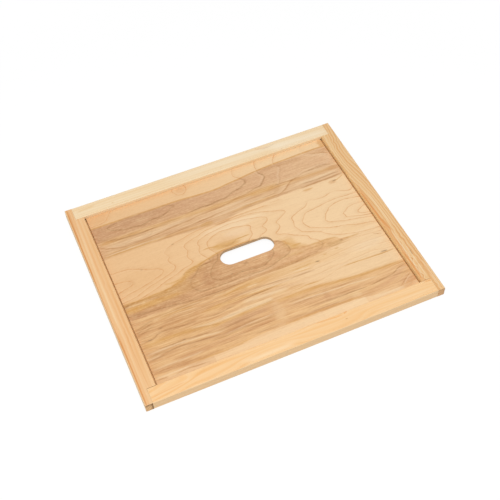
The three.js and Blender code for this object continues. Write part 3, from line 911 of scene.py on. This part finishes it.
# Streaks seen on the face sheet, colour by colour: each has its half width, its pressure and its course
FACE_STROKES = (
    ("d8a25a", 0.85, [
        (4.5, 0.8, [(-224, 114), (-150, 113.5), (-60, 113.5), (0, 111), (60, 112), (110, 113)]),
        (3.2, 0.6, [(40, 108), (100, 108), (130, 108.5), (223, 108)]),
        (2.2, 0.7, [(-224, 84.5), (-100, 84), (-40, 82)]), (2.2, 0.7, [(0, 88), (45, 90), (100, 91)]),
        (4.5, 1.0, [(-140, -16), (-122, -12), (-108, -6), (-96, -0.5), (-86, 3.5), (-72, 7.5)]),
        (4.5, 1.0, [(-224, -33.5), (-190, -34), (-155, -34.5), (-120, -34)]),
        (4.5, 0.6, [(54, -5), (64, -11), (72, -20), (82, -27), (97, -31.5)]),
        (4.5, 0.6, [(-90, -66), (-40, -66), (20, -65)]),
        (4.5, 1.0, [(-224, -106), (-175, -106), (-130, -109), (-95, -114)]),
        (2.2, 1.0, [(-110, -115), (-80, -114), (-51, -111.8), (-20, -110.3), (0, -111)]),
        (3.2, 1.0, [(0, -113.5), (42, -114.5), (75, -115.5), (100, -118.5), (133, -122.5), (183, -125),
            (223, -126)]),
        (3.2, 0.7, [(-112, -84), (-60, -83.5), (10, -84.5)]),
        (3.2, 0.7, [(-182, -65), (-150, -65), (-113, -67)]),
        (1.6, 0.8, [(-8, -158.8), (33, -159), (75, -159), (108, -160.2), (131, -162)]),
        (1.2, 0.8, [(-168, -162), (-143, -162.8), (-118, -162.8), (-84, -162.3), (-60, -160.5)]),
        (3.2, 0.4, [(-12, -100), (20, -99.5), (60, -101)])]),
    ("f6dcb4", 0.6, [
        (4.5, 0.5, [(-212, 103), (-180, 101.5), (-150, 101.3), (-120, 102.7), (-90, 104.5), (-60, 106.5)]),
        (1.2, 0.6, [(-224, 86.8), (-170, 87.3), (-100, 86)]),
        (1.6, 0.6, [(-20, 102), (0, 103), (30, 104), (60, 106)]),
        (1.6, 0.6, [(-30, 90), (0, 92.5), (50, 94), (90, 95.5)]),
        (1.6, 0.8, [(127, 99), (160, 97.8), (216, 99)]),
        (1.2, 0.5, [(150, 116.3), (175, 116.8), (195, 116)]),
        (0.9, 0.9, [(-224, -25.8), (-205, -26.7), (-184, -28)]),
        (1.6, 0.8, [(-224, -123), (-201, -122.3), (-176, -122), (-154, -123.3), (-134, -125), (-112, -128),
            (-84, -129)]),
        (1.2, 0.6, [(-98, -137), (-76, -135.3), (-51, -133.7), (0, -133.7)]),
        (2.2, 0.9, [(-143, -104.7), (-123, -107), (-109, -108.7), (-84, -108.5), (-59, -107),
            (0, -106.5)]),
        (3.2, 0.8, [(-90, -107), (-40, -105.5), (0, -106)]),
        (0.9, 0.9, [(-64, -79.7), (-43, -78.3), (0, -80), (25, -82.8), (60, -84.5)]),
        (0.9, 0.9, [(-46, -81.5), (0, -82.6), (20, -84.5)]),
        (3.2, 1.0, [(-50, -93), (-20, -94.5), (0, -96), (30, -98)]),
        (1.2, 1.0, [(44, -72.3), (66, -73), (86, -76)]),
        (1.2, 1.0, [(-35, -68.5), (-20, -68.8), (-8, -69)]),
        (1.2, 0.9, [(8, -127.8), (35, -127.3), (75, -130), (100, -131.3), (125, -132.8), (150, -135.3),
            (180, -137.3)]),
        (0.9, 0.7, [(-190, -64.5), (-159, -62.8), (-126, -62.8), (-98, -63.4)]),
        (0.9, 0.7, [(-178, -71.2), (-154, -69.5), (-126, -70.3), (-107, -72.3)]),
        (1.6, 0.7, [(-224, -152.5), (-200, -150.7), (-160, -151.3), (-126, -149)]),
        (1.2, 0.9, [(-224, -166), (-195, -166.7), (-150, -166.2)]),
        (1.6, 0.9, [(133, -171.5), (160, -172), (200, -173.5)]),
        (0.9, 0.8, [(-224, -131.3), (-196, -130.8)]), (1.2, 0.7, [(195, -139), (224, -139.7)]),
        (1.2, 0.7, [(196, -172.5), (206, -164.5), (215, -158), (224, -154)]),
        (0.9, 0.7, [(184, 157), (195, 151), (207, 147.7), (223, 140.7)]),
        (1.2, 0.6, [(-100, -64), (-60, -63), (-34, -61.5)]),
        (1.6, 0.5, [(-80, -50.5), (-20, -50.8), (40, -50)])]),
    ("cf9648", 0.95, [
        (1.2, 1.0, [(-117, -3.4), (-110, 0.3), (-102, 3), (-95, 4.5), (-85, 6.5), (-73, 9.5), (-62, 12.5),
            (-52, 15), (-43, 17), (-34, 18), (0, 18.2), (24, 17)]),
        (1.2, 0.9, [(-224, -19.5), (-193, -20.5), (-160, -19.3), (-143, -18), (-130, -14.5), (-118, -11),
            (-104, -5)]),
        (1.2, 0.7, [(86, -29.5), (95, -32), (107, -33.5), (127, -34), (140, -35.5), (150, -39)]),
        (0.9, 0.9, [(131, -58.5), (141, -58)]), (0.9, 0.8, [(108, -61.3), (117, -61.7)]),
        (0.9, 1.0, [(118, -95.9), (135, -96.2), (150, -96.7), (173, -97.8), (198, -98.7), (223, -98.7)]),
        (0.9, 0.9, [(22, -105), (42, -105.7), (58, -105), (75, -106), (96, -107.8)]),
        (0.9, 0.9, [(-30, -86.8), (-4, -86.3), (22, -87.2), (35, -89)]),
        (0.9, 0.7, [(-118, -84), (-93, -82.3), (-83, -81.2), (-70, -79.6)]),
        (0.9, 0.7, [(-85, -70.8), (-60, -67.5), (-34, -66), (-8, -67.3)]),
        (0.9, 0.8, [(42, -69.8), (69, -69.2), (90, -68)]),
        (0.9, 0.5, [(-62, -60), (-30, -58.5), (0, -58)]), (0.9, 0.6, [(42, -74.7), (85, -78)]),
        (0.9, 0.8, [(151, -43.5), (160, -45), (185, -45.8)]),
        (0.9, 0.9, [(-71, 31), (-57, 32), (-45, 29.8), (-36, 30.5)]),
        (0.9, 0.9, [(-14, 30.5), (0, 30), (24, 30.2)]),
        (1.2, 0.8, [(-150, -8.5), (-139, -10), (-127, -9.3), (-117, -6)]),
        (0.9, 0.9, [(73, -22.5), (88, -23.5)]), (0.9, 0.6, [(60, -38.5), (75, -37.8)]),
        (0.9, 0.6, [(66, -43), (84, -42)]), (0.9, 0.6, [(-224, 84), (-165, 84.5), (-108, 84)]),
        (0.9, 0.6, [(-224, 90), (-165, 90.3), (-108, 90.2)]),
        (0.9, 0.8, [(199, 77.8), (206, 78.8), (213, 81.5), (221, 85)]),
        (1.2, 0.5, [(138, 80), (150, 79), (161, 79.5)])]),
    ("b87c44", 0.82, [
        (1.2, 1.0, [(130, 89), (138, 86.7), (158, 87.3), (200, 88.3), (221, 90)]),
        (1.2, 0.8, [(89, 84), (97, 88.3), (107, 92.5), (117, 98.3), (122.5, 103.3), (128, 107.5),
            (135, 111.3), (152, 112)]),
        (0.9, 0.9, [(86, 110.5), (105, 113), (117, 112.5), (130, 111.7), (155, 113)]),
        (0.9, 0.7, [(-8, 83), (20, 86.7), (42, 88), (75, 89), (100, 90.3), (117, 90), (135, 88)]),
        (0.9, 0.6, [(20, 98.7), (67, 103.3), (93, 105.8), (122, 108)]),
        (1.2, 0.8, [(-224, 107.5), (-211, 101.7), (-201, 98), (-188, 95), (-171, 93.3), (-154, 93.3),
            (-139, 94.5), (-123, 96.2), (-106, 98.3), (-89, 100), (-73, 101.3), (-45, 103)]),
        (1.2, 0.9, [(-70, 101.3), (-43, 105), (-26, 105.8), (0, 107.3), (25, 111.7), (48, 114.5)]),
        (1.2, 1.0, [(-113, 86.3), (-93, 87), (-79, 88.3), (-60, 90)]),
        (0.9, 0.7, [(-74, 89.5), (-34, 93), (5, 96.3)]),
        (0.9, 0.7, [(-136, 81.7), (-118, 82.5), (-84, 82.5), (-50, 80)]),
        (1.2, 0.9, [(-36, 73.7), (-15, 73), (8, 75.5)]),
        (0.9, 0.9, [(-192, -171.2), (-171, -169.5), (-154, -170.7), (-126, -171.7)]),
        (0.9, 0.8, [(-224, -169.5), (-200, -170)]),
        (2.2, 0.7, [(-224, -158), (-186, -157.3), (-156, -159), (-100, -158.7)]),
        (1.2, 0.9, [(-88, -147), (-59, -145.8), (-46, -144), (-29, -145), (-5, -143)]),
        (1.2, 0.7, [(78, -142), (125, -142.8), (160, -144)]), (0.9, 0.9, [(46, -0.5), (55, -3), (61, -8)]),
        (0.9, 0.8, [(190, -173), (197, -168), (208, -160.3), (224, -151.5)]),
        (0.9, 0.9, [(182, 161), (190, 156.3), (197, 153.3), (208, 150), (216, 146.5), (224, 142.5)]),
        (0.9, 0.7, [(-143, -107), (-123, -109.3), (-108, -112), (-96, -114.5)]),
        (0.9, 0.7, [(-184, -69), (-160, -67.3), (-140, -67.3), (-116, -68.8)]),
        (0.9, 0.7, [(-195, -82.3), (-170, -83), (-150, -83), (-125, -83.5), (-112, -84.7)]),
        (1.6, 0.7, [(-142, -55), (-125, -58.3), (-112, -60.3), (-90, -60.7), (-65, -60), (-45, -58)]),
        (2.2, 0.5, [(-224, 118), (-205, 116), (-185, 113)]),
        (2.2, 0.5, [(85, 156), (110, 154.5), (150, 152), (172, 151)]),
        (0.9, 0.7, [(203, -55), (210, -58), (218, -62)])]),
    ("9a622f", 0.6, [
        (1.7, 1.0, [(-204, 118), (-186, 113.3), (-172, 111.7), (-156, 110.5), (-139, 110.7),
            (-109, 112.3)]),
        (1.25, 0.7, [(-122, 111.8), (-93, 113), (-70, 114.2)]),
        (1.7, 0.7, [(-224, 128.5), (-212, 122.5), (-200, 118.5)]),
        (1.25, 0.6, [(-57, 116.7), (-44, 119.5), (-34, 120.3), (-18, 119.5), (2, 122)]),
        (2.2, 0.6, [(55, 143), (62, 146)]),
        (1.7, 0.8, [(154, 117.3), (175, 119.5), (190, 120.5), (203, 120.3), (214, 116)]),
        (1.25, 0.9, [(136, 93), (144, 95), (165, 93.8), (200, 94.7), (218, 95.5)]),
        (1.7, 0.7, [(-98, -9), (-92, -2), (-84, 2.3), (-71, 3.7), (-58, 5.5)]),
        (2.2, 0.5, [(-108, -31.5), (-95, -32), (-80, -31)]),
        (1.7, 0.5, [(-200, -40), (-168, -40.8), (-156, -43.7), (-143, -46.7), (-115, -46.3)]),
        (2.2, 0.4, [(-222, -50), (-205, -49), (-186, -47.5)]),
        (1.25, 0.8, [(-223, -73.5), (-212, -70.5), (-203, -68.3), (-195, -66.3), (-182, -64.5)]),
        (1.25, 0.8, [(-223, -79), (-213, -76.3), (-205, -73.5), (-198, -71.5), (-187, -69.5)]),
        (1.25, 0.7, [(-223, -84.3), (-213, -82), (-204, -79.3), (-196, -76.8), (-185, -74)]),
        (1.25, 0.9, [(-223, -95), (-213, -97.3), (-206, -98.5), (-199, -97), (-193, -93), (-186, -91.5),
            (-173, -91.5), (-158, -93), (-146, -95), (-130, -94.7), (-116, -94)]),
        (1.25, 0.8, [(-126, -94.3), (-110, -95.5), (-100, -96.8), (-89, -96.3), (-72, -94.2), (-60, -92.5),
            (-50, -90.5), (-46, -89)]),
        (1.25, 0.9, [(-60, -92.3), (-46, -89), (-35, -87.5), (-15, -86.8), (10, -86.5)]),
        (1.25, 0.7, [(-94, -82.5), (-76, -80), (-60, -77.8), (-40, -76.3), (-4, -76.7), (25, -79),
            (47, -81.2), (70, -82.3), (84, -83)]),
        (1.7, 0.9, [(-223, -128.3), (-196, -126.7), (-186, -128.5), (-168, -127.8), (-156, -129),
            (-139, -130.7), (-123, -132.2), (-109, -133.7), (-90, -134.2)]),
        (1.7, 0.6, [(-112, -133.8), (-83, -133.3), (-59, -131), (-20, -131.3)]),
        (1.25, 0.9, [(-224, -134.5), (-209, -134), (-188, -133)]),
        (1.25, 0.8, [(-205, -117.5), (-188, -119.3), (-159, -119.5), (-143, -120.5), (-125, -122.5),
            (-110, -125.3), (-100, -126)]),
        (1.25, 0.7, [(-116, -124), (-100, -126), (-81, -125), (-66, -123.7), (-30, -122.5)]),
        (1.25, 0.8, [(-128, -138), (-114, -139.5), (-100, -140.3), (-81, -138.7), (-59, -137.3),
            (-30, -137.5), (0, -136.5)]),
        (1.25, 0.5, [(-171, -135.3), (-135, -137.8)]),
        (1.7, 0.5, [(2, -123), (42, -123.7), (75, -124.8), (92, -126.5), (117, -128.7), (160, -131)]),
        (1.25, 0.6, [(12, -130.3), (31, -131), (75, -132.5), (95, -133)]),
        (1.25, 0.9, [(30, -145), (57, -145.7), (72, -146.2), (117, -147.3), (146, -148.7)]),
        (1.25, 1.0, [(140, -150), (152, -148.5), (167, -146.2), (180, -144.7), (197, -142), (208, -136.2),
            (216, -134), (224, -133.3)]),
        (1.7, 0.5, [(186, -146), (208, -147.8), (224, -147)]),
        (1.7, 0.6, [(-62, -154), (-34, -155.3), (-2, -154.7)]),
        (1.7, 0.5, [(6, -153), (36, -154.5), (67, -155.3), (104, -157)]),
        (1.25, 0.6, [(-39, 31), (-35, 27), (-30, 24.5), (-22, 23.5), (-14, 25), (-9, 28.5), (-7, 31)]),
        (1.25, 0.7, [(-6, -24.3), (5, -23.7), (13, -20.8), (19, -16)])]),
    ("6e4420", 0.75, [
        (0.9, 1.0, [(197, -95.8), (203, -96), (210, -96.5)]),
        (0.9, 1.0, [(90, -69), (95, -69.5), (100, -70)]),
        (1.2, 1.0, [(197, 78.4), (200.5, 78.7), (204, 79)]), (2.2, 0.5, [(-18, -23.5), (-8, -23.5)]),
        (0.9, 0.6, [(-45, -33.7), (-39, -33.7)]), (0.9, 0.7, [(-27, -36.3), (-21, -36.3)]),
        (0.9, 0.8, [(-188, -84), (-179, -84.3)]), (0.9, 0.8, [(-162, -119.2), (-154, -119)]),
        (0.9, 0.7, [(147, -45.8), (155, -45.8)]), (0.9, 0.8, [(-210, -97.8), (-202, -98.3)]),
        (0.9, 0.6, [(102, 113), (108, 113)]), (0.9, 0.6, [(-111, 64), (-105, 64.5)]),
        (0.9, 0.5, [(-176, 36.8), (-170, 36.3)]), (0.9, 0.6, [(-115, -3), (-111, -0.5)])]))


def face_veneer():
    """The panel's top sheet, zone by zone, with its rings, its streaks and its marks."""
    material, shader, (x, y, z) = new_surface("face veneer", 0.58)
    threads = fibre(x, y, z, 0.7)

    # The rings drawn on the sheet, wavering as the knife meets the log's small bumps
    drawn, steep = figure_of(x.tree)
    waver = cloud(x / 20, y / 8, 0.0) * 3.0 + cloud(x / 6, y / 3, 2.0, 1) * 1.2
    field = drawn + waver * steep

    # Streaks that keep to the rings, fine streaks that keep to the grain, and the cut fibres' mottle
    streaky = cloud(x / 110, field * 1.6, 1.0, 5, 0.62)
    light_streak = (streaky * 2.6 + 0.5).rise(0, 1)
    drift = y + waver * 0.6
    fine_streak = cloud(x / 120, drift / 2.6, 1.0, 4, 0.7)
    grain = cloud(x / 30, drift / 1.5, 3.0)
    mottle = cloud(x / 5, y / 3, 3.0, 3, 0.6)
    fray = cloud(x / 45, y / 2.6, 5.0, 3, 0.6)
    fine_fray = cloud(x / 28, y / 1.3, 6.0, 3, 0.65)

    # The borders between pale sapwood, brown bands and heartwood
    heart_top, heart_foot, strip_edge, band_edge, upper_edge, lower_edge, front_edge = (
        follow(x, *border) for border in FACE_BORDERS)
    edge = drift + fine_fray * 2.4
    back_strip = (y - strip_edge + fine_fray * 0.8).rise(-0.6, 0.6)
    above_band = (edge - band_edge).rise(-1.2, 1.2)
    brown_band = (1 - back_strip) * above_band
    upper_streaks = (1 - above_band) * (edge + fray * 2 - upper_edge).rise(-1.8, 1.8)
    above_heart = (edge - heart_top).rise(-1, 1)
    above_foot = (edge + fray * 3 - heart_foot).rise(-3, 3)
    heart = (1 - above_heart) * above_foot
    above_lower = (edge + fray * 2 - lower_edge).rise(-2, 2)
    middle = (1 - above_foot) * above_lower
    above_front = (edge - front_edge).rise(-1, 1)
    front_streaks = (1 - above_lower) * above_front
    front_ends = (1 - (x + 127 + fray * 4).rise(-1, 1) + (x - 132.5).rise(-0.7, 0.7)) * (1 - above_front)

    # Sapwood first, deeper in tone towards the left, then each zone's own wood
    side = (x / SHEET_SPAN + 0.5 + threads.broad * 0.4).rise(0, 1)
    leftness = 1 - (x + streaky * 60 + y * 0.9 + 80).rise(-60, 90)
    mauve = blend(light_streak * 0.4, blend(side, "c59169", "e4b78d"), "e3b98c")
    core = blend(light_streak, blend(side, "bf8b5d", "deac7b"), blend(side, "d49d6a", "edbf8e"))
    gold = blend(light_streak, blend(side, "cb9461", "dca878"), "ebbd84")
    pink = blend(side * 0.35, blend(light_streak, "d3a274", "e6bc90"), "f0cda2")
    tone = blend(side, "ebbf8d", "f5d3a6")
    for share, wood in ((brown_band * 0.95, mauve), (upper_streaks * 0.92, pink), (heart * 0.95, core),
                        (middle * (leftness * 0.85 + 0.08), gold), (front_streaks * 0.9, gold),
                        (front_ends * 0.55, gold)):
        tone = blend(share, tone, wood)

    # The golden borders of the heartwood and the back strip, and drifts of tone frayed into streaks
    below_top = drift - heart_top
    torn = (fine_streak * 3 + fine_fray * 2 + 0.8).rise(0, 1)
    fringe = (below_top + 3.5).bell(4.5) * (x + 140).rise(0, 30) * (1 - (x + 92).rise(-10, 20))
    fringe = fringe + (below_top + 5).bell(6) * (1 - (x + 160).rise(0, 45)) * 0.6
    fringe = fringe + (below_top - 3).bell(5) * (x - 70).bell(10) * 0.7
    fringe = fringe + (below_top + 6).bell(7) * (x - 125).bell(35) * 0.4
    tone = blend(fringe.math("MINIMUM", 1.0) * torn, tone, "d39d4a")
    tone = blend((y - strip_edge + 0.6 + fine_fray * 0.8).bell(1.5) * 0.9, tone, "d79f58")
    tone = lay_patches(x, drift, fray * 1.2 + fine_fray, tone, FACE_PATCHES)

    # Ring lines, orange in the sapwood and grey-brown in the heartwood, each with a pale early edge
    dark_zone = (brown_band + heart + upper_streaks * 0.7).math("MINIMUM", 1.0)
    lines = ring_lines(field, steep, dark_zone * 0.4 + brown_band * 0.3 + 0.72)
    firm = (cloud(x / 18, y / 12, 4.0, 3) * 3 + 0.5).rise(0, 1) * (0.36 - dark_zone * 0.16)
    firm = (firm + 0.38 + dark_zone * 0.14) * (1 - brown_band * (x - 108).rise(0, 10) * 0.75)
    firm = firm * (1 - (y - strip_edge + 2).bell(3) * 0.6)
    firm = firm * (1 - (middle + front_streaks).math("MINIMUM", 1.0) * 0.6) * (1 - (1 - above_front) * 0.9)
    firm = firm * (1 - (y - 68).bell(9) * (x - 90).rise(0, 20)) * (1 - upper_streaks * 0.45)
    firm = firm * (1 - heart * (x - 70).rise(0, 25) * 0.55)
    tone = blend(lines.late * firm * (heart * 0.22 + 0.2), tone, blend(heart, "cf9a66", "ac7646"))
    pale_edge = (1 - dark_zone) * 0.12 + brown_band * (x - 60).rise(0, 30) * 0.22
    tone = blend(lines.early * pale_edge, tone, "f6d9b4")
    tone = blend(lines.line * firm, tone, blend(dark_zone, "d48f4e", "a0703f"))

    # Listed strokes: golden, pale and warm ones, then the dark ones
    worn = (fine_streak * 2 + grain * 2 + 0.95).math("MAXIMUM", 0.5).math("MINIMUM", 1.0)
    course = drift + fine_fray * 0.8
    for colour, share, rows in FACE_STROKES:
        tone = blend(pen_strokes(x, course, rows) * worn * share, tone, colour)

    # The grain itself, strongest where the wood is brown
    veined = brown_band * 0.6 + upper_streaks * 0.75 + heart * 0.7 + middle * (leftness * 0.8 + 0.35)
    veined = (veined + front_streaks * 0.72 + (1 - above_front) * 0.2 + fringe * 0.8).math("MINIMUM", 1.0)
    tone = vary(tone, fine_streak * (veined * 1.4 + 0.15))
    tone = vary(tone, grain * (veined * 1.1 + 0.3))
    tone = vary(tone, cloud(x / 15, y / 7, 7.0, 3, 0.6) * (heart * 0.6 + brown_band * 0.3 + 0.1))
    tone = vary(tone, mottle * (heart * 0.5 + brown_band * 0.5 + 0.4))
    tone = blend((threads.fine * 2.0 + 0.1).rise(0, 1) * 0.13, tone, "c6935f")
    tone = blend(threads.pores * 0.1, tone, "a87b4e")
    paint(shader, tone, threads.fine * 0.7 + 0.5 - threads.pores * 0.3, 0.05, 0.5)
    return material


def edge_veneer(name, pale, dark):
    """A ply that only shows its cut edge in the slot: end grain where the knife crossed the fibres."""
    material, shader, (x, y, z) = new_surface(name, 0.8)
    blotch = cloud(x / 5, y / 5, z / 0.8, 3)
    tone = blend((fibre(x, y, z, 0.5).fine * 2 + blotch * 1.5 + 0.5).rise(0, 1), pale, dark)
    paint(shader, tone, blotch + 0.5, 0.15, 0.8)
    return material


def back_veneer():
    """The underside's sheet: plain sapwood with wide nested loops and a few thin streaks."""
    material, shader, (x, y, z) = new_surface("back veneer", 0.62)
    threads = fibre(x, y, z, 0.7)
    swell = cloud(x / 190, y / 62, 8.0, 1) * 11
    waver = cloud(x / 30, y / 9, 9.0) * 0.5
    lines = ring_lines(y / 34 + swell + waver, 0.09, 0.7)
    streaky = cloud(x / 150, y / 4, 2.0, 4, 0.6)
    tone = blend((threads.broad * 2 + 0.5).rise(0, 1), "efcb9e", "e6bb88")
    tone = blend((streaky * 2.4).rise(0, 1) * 0.5, tone, "d3a371")
    tone = blend(lines.line * 0.45, tone, "c08c5c")
    tone = blend(lines.late * 0.15, tone, "cf9a66")
    tone = blend((threads.fine * 2.0 + 0.1).rise(0, 1) * 0.18, tone, "c6935f")
    paint(shader, tone, threads.fine * 0.7 + 0.5 - lines.line * 0.2, 0.06, 0.6)
    return material


ply_tree = ply_sheet()
cross_grain = edge_veneer("crossband veneer", "cfab84", "967450")
core_grain = edge_veneer("core veneer", "ecccA0", "c9a070")
ply("face_veneer", "panel_face_veneer", face_veneer(), 2.5 * MM, FACE_FIGURE)
ply("upper_crossband", "panel_upper_crossband", cross_grain)
ply("core_veneer", "panel_core", core_grain)
ply("lower_crossband", "panel_lower_crossband", cross_grain)
ply("back_veneer", "panel_back_veneer", back_veneer())

# Staples
# Eight narrow-crown staples of flat galvanised wire, two at each corner. They go in from the side rails'
# outer faces, through the tongue and into the end rail, and their crowns end just under the surface.


def bent_wires():
    """Geometry tree that puts a bent wire at each point, turned by the point's own angle."""
    points, crown, leg, wide, thick, bend, steel = shape_tree(
        "staples", ("points", "crown", "leg", "wide", "thick", "bend", "steel"),
        points="Geometry", steel="Material")
    half_wire = thick * 0.5
    half = crown * 0.5 - half_wire
    below = half * -1.0

    upper = join(half_wire, 0.0, half)
    lower = join(half_wire, 0.0, below)
    path = together(*(form("CurvePrimitiveLine", {"Start": start, "End": end}) for start, end in (
        (lower, join(leg, 0.0, below)), (upper, lower), (join(leg, 0.0, half), upper))))
    spine = form("MeshToCurve", {"Mesh": welded(form("CurveToMesh", {"Curve": path}))})
    section = rectangle(thick, wide, half_wire * 0.4, corner_points=3)
    body = form("CurveToMesh", {
        "Curve": rounded(spine, bend, corner_points=5), "Profile Curve": section, "Fill Caps": True})
    angle = outlet(points.tree, "InputNamedAttribute", {"Name": "turn"}, "Attribute",
                   family="GeometryNode", data_type="FLOAT")
    spread = form("InstanceOnPoints", {
        "Points": points, "Instance": body, "Rotation": join(0.0, 0.0, angle)})
    return ended(spread, steel)


def galvanised():
    """Zinc-coated wire, dull, with the coat's small blooms."""
    material, shader, (x, y, z) = new_surface("galvanised wire", 0.38)
    bloom = cloud(x / 1.5, y / 0.4, z / 0.4, 3)
    coat = {"Metallic": 1.0, "Base Color": blend((bloom * 2 + 0.5).rise(0, 1), "c3c6c8", "8f9193"),
            "Roughness": bloom * 0.3 + 0.4}
    for name, value in coat.items():
        plug(value, shader.inputs[name])
    return material


WIRE_THICKNESS = 1 * MM
BEND_RADIUS = 0.7 * MM
staple_nodes = sorted(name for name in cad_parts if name.startswith("staple_"))
places = []
for low, high in map(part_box, staple_nodes):
    middle = (low + high) / 2
    places.append(Vector((low.x if low.x < 0 else high.x, middle.y, middle.z)))
seats = bpy.data.meshes.new("staple seats")
seats.from_pydata(places, [], [])
turn = seats.attributes.new("turn", "FLOAT", "POINT")
turn.data.foreach_set("value", [0.0 if place.x < 0 else math.pi for place in places])
low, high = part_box(staple_nodes[0])
leg, wide, crown = high - low
staples = grown("staples", bent_wires(), {
    "crown": crown, "leg": leg, "wide": wide, "thick": WIRE_THICKNESS, "bend": BEND_RADIUS,
    "steel": galvanised()}, seats)
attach(staples, "root")
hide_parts(*staple_nodes)

# Floor, light and camera
# A white sweep that stays white to the camera and keeps a soft shadow, even light from all round with a
# large lamp overhead, and the camera where the photograph was taken from.


def white_to_the_camera(seen, lit, ending):
    """Ends a tree so that the camera and clear reflections see one thing, and another lights the object."""
    path = put(seen.tree, "LightPath").outputs
    camera_ray, glossy, clear = (
        Signal(seen.tree, path["Is " + ray + " Ray"]) for ray in ("Camera", "Glossy", "Transmission"))
    either = camera_ray.math("MAXIMUM", glossy).math("MAXIMUM", clear)
    put(seen.tree, ending, {"Surface": outlet(seen.tree, "MixShader", {0: either, 1: lit, 2: seen})})


FLOOR_REACH = 4.0
FLOOR_LEVEL = -0.1 * MM
SHADOW_ROUND = (0.6, 1.2)
SHADOW_SHARE = 0.16
WHITE = (1.0, 1.0, 1.0, 1.0)
floor_mesh = bpy.data.meshes.new("floor")
signs = ((-1, -1), (1, -1), (1, 1), (-1, 1))
corners = [(FLOOR_REACH * x, FLOOR_REACH * y, FLOOR_LEVEL) for x, y in signs]
floor_mesh.from_pydata(corners, [], [(0, 1, 2, 3)])
paper = bpy.data.materials.new("white sweep")
sheet = cleared(paper)
matte = outlet(sheet, "BsdfDiffuse", {"Color": (0.8, 0.8, 0.8, 1.0)})
paper_x, paper_y = split(outlet(sheet, "TexCoord", place="Object"))[:2]
far = (paper_x.power(2) + paper_y.power(2)).math("SQRT").rise(*SHADOW_ROUND)
share = (1 - far) * SHADOW_SHARE
soft_shadow = outlet(sheet, "BsdfDiffuse", {"Color": join(share, share, share)})
glow = outlet(sheet, "Emission", {"Color": WHITE, "Strength": far * SHADOW_SHARE + 0.86})
white_to_the_camera(outlet(sheet, "AddShader", {0: soft_shadow, 1: glow}), matte, "OutputMaterial")
own("floor", floor_mesh, paper)

world = bpy.data.worlds.new("even light")
bpy.context.scene.world = world
sky = cleared(world)
around = outlet(sky, "Background", {"Color": (0.96, 0.98, 1.0, 1.0), "Strength": 0.62})
plain = outlet(sky, "Background", {"Color": WHITE, "Strength": 1.0})
white_to_the_camera(plain, around, "OutputWorld")

lamp = bpy.data.lights.new("overhead", "AREA")
lamp.shape = "DISK"
lamp.size = 1.4
lamp.energy = 20.0
lamp.color = (1.0, 0.97, 0.93)
overhead = bpy.data.objects.new("overhead", lamp)
bpy.context.scene.collection.objects.link(overhead)
overhead.location = (-0.3, -0.7, 1.9)
overhead.rotation_euler = (-overhead.location).to_track_quat("-Z", "Y").to_euler()

CAMERA_AT = Vector((-0.3379, -0.8699, 1.1994))
CAMERA_AIM = Vector((0.0026, -0.0059, 0.017))
CAMERA_ROLL = math.radians(-2.75)
SENSOR_MM = 36.0
FOCAL_IN_IMAGE_WIDTHS = 1.8247
eye = bpy.data.cameras.new("camera")
eye.sensor_width = SENSOR_MM
eye.lens = SENSOR_MM * FOCAL_IN_IMAGE_WIDTHS
camera = bpy.data.objects.new("camera", eye)
bpy.context.scene.collection.objects.link(camera)
towards = (CAMERA_AIM - CAMERA_AT).to_track_quat("-Z", "Y").to_matrix()
rolled = (towards @ Matrix.Rotation(CAMERA_ROLL, 3, "Z")).to_4x4()
camera.matrix_world = Matrix.Translation(CAMERA_AT) @ rolled
bpy.context.scene.camera = camera
bpy.context.scene.view_settings.view_transform = "Standard"
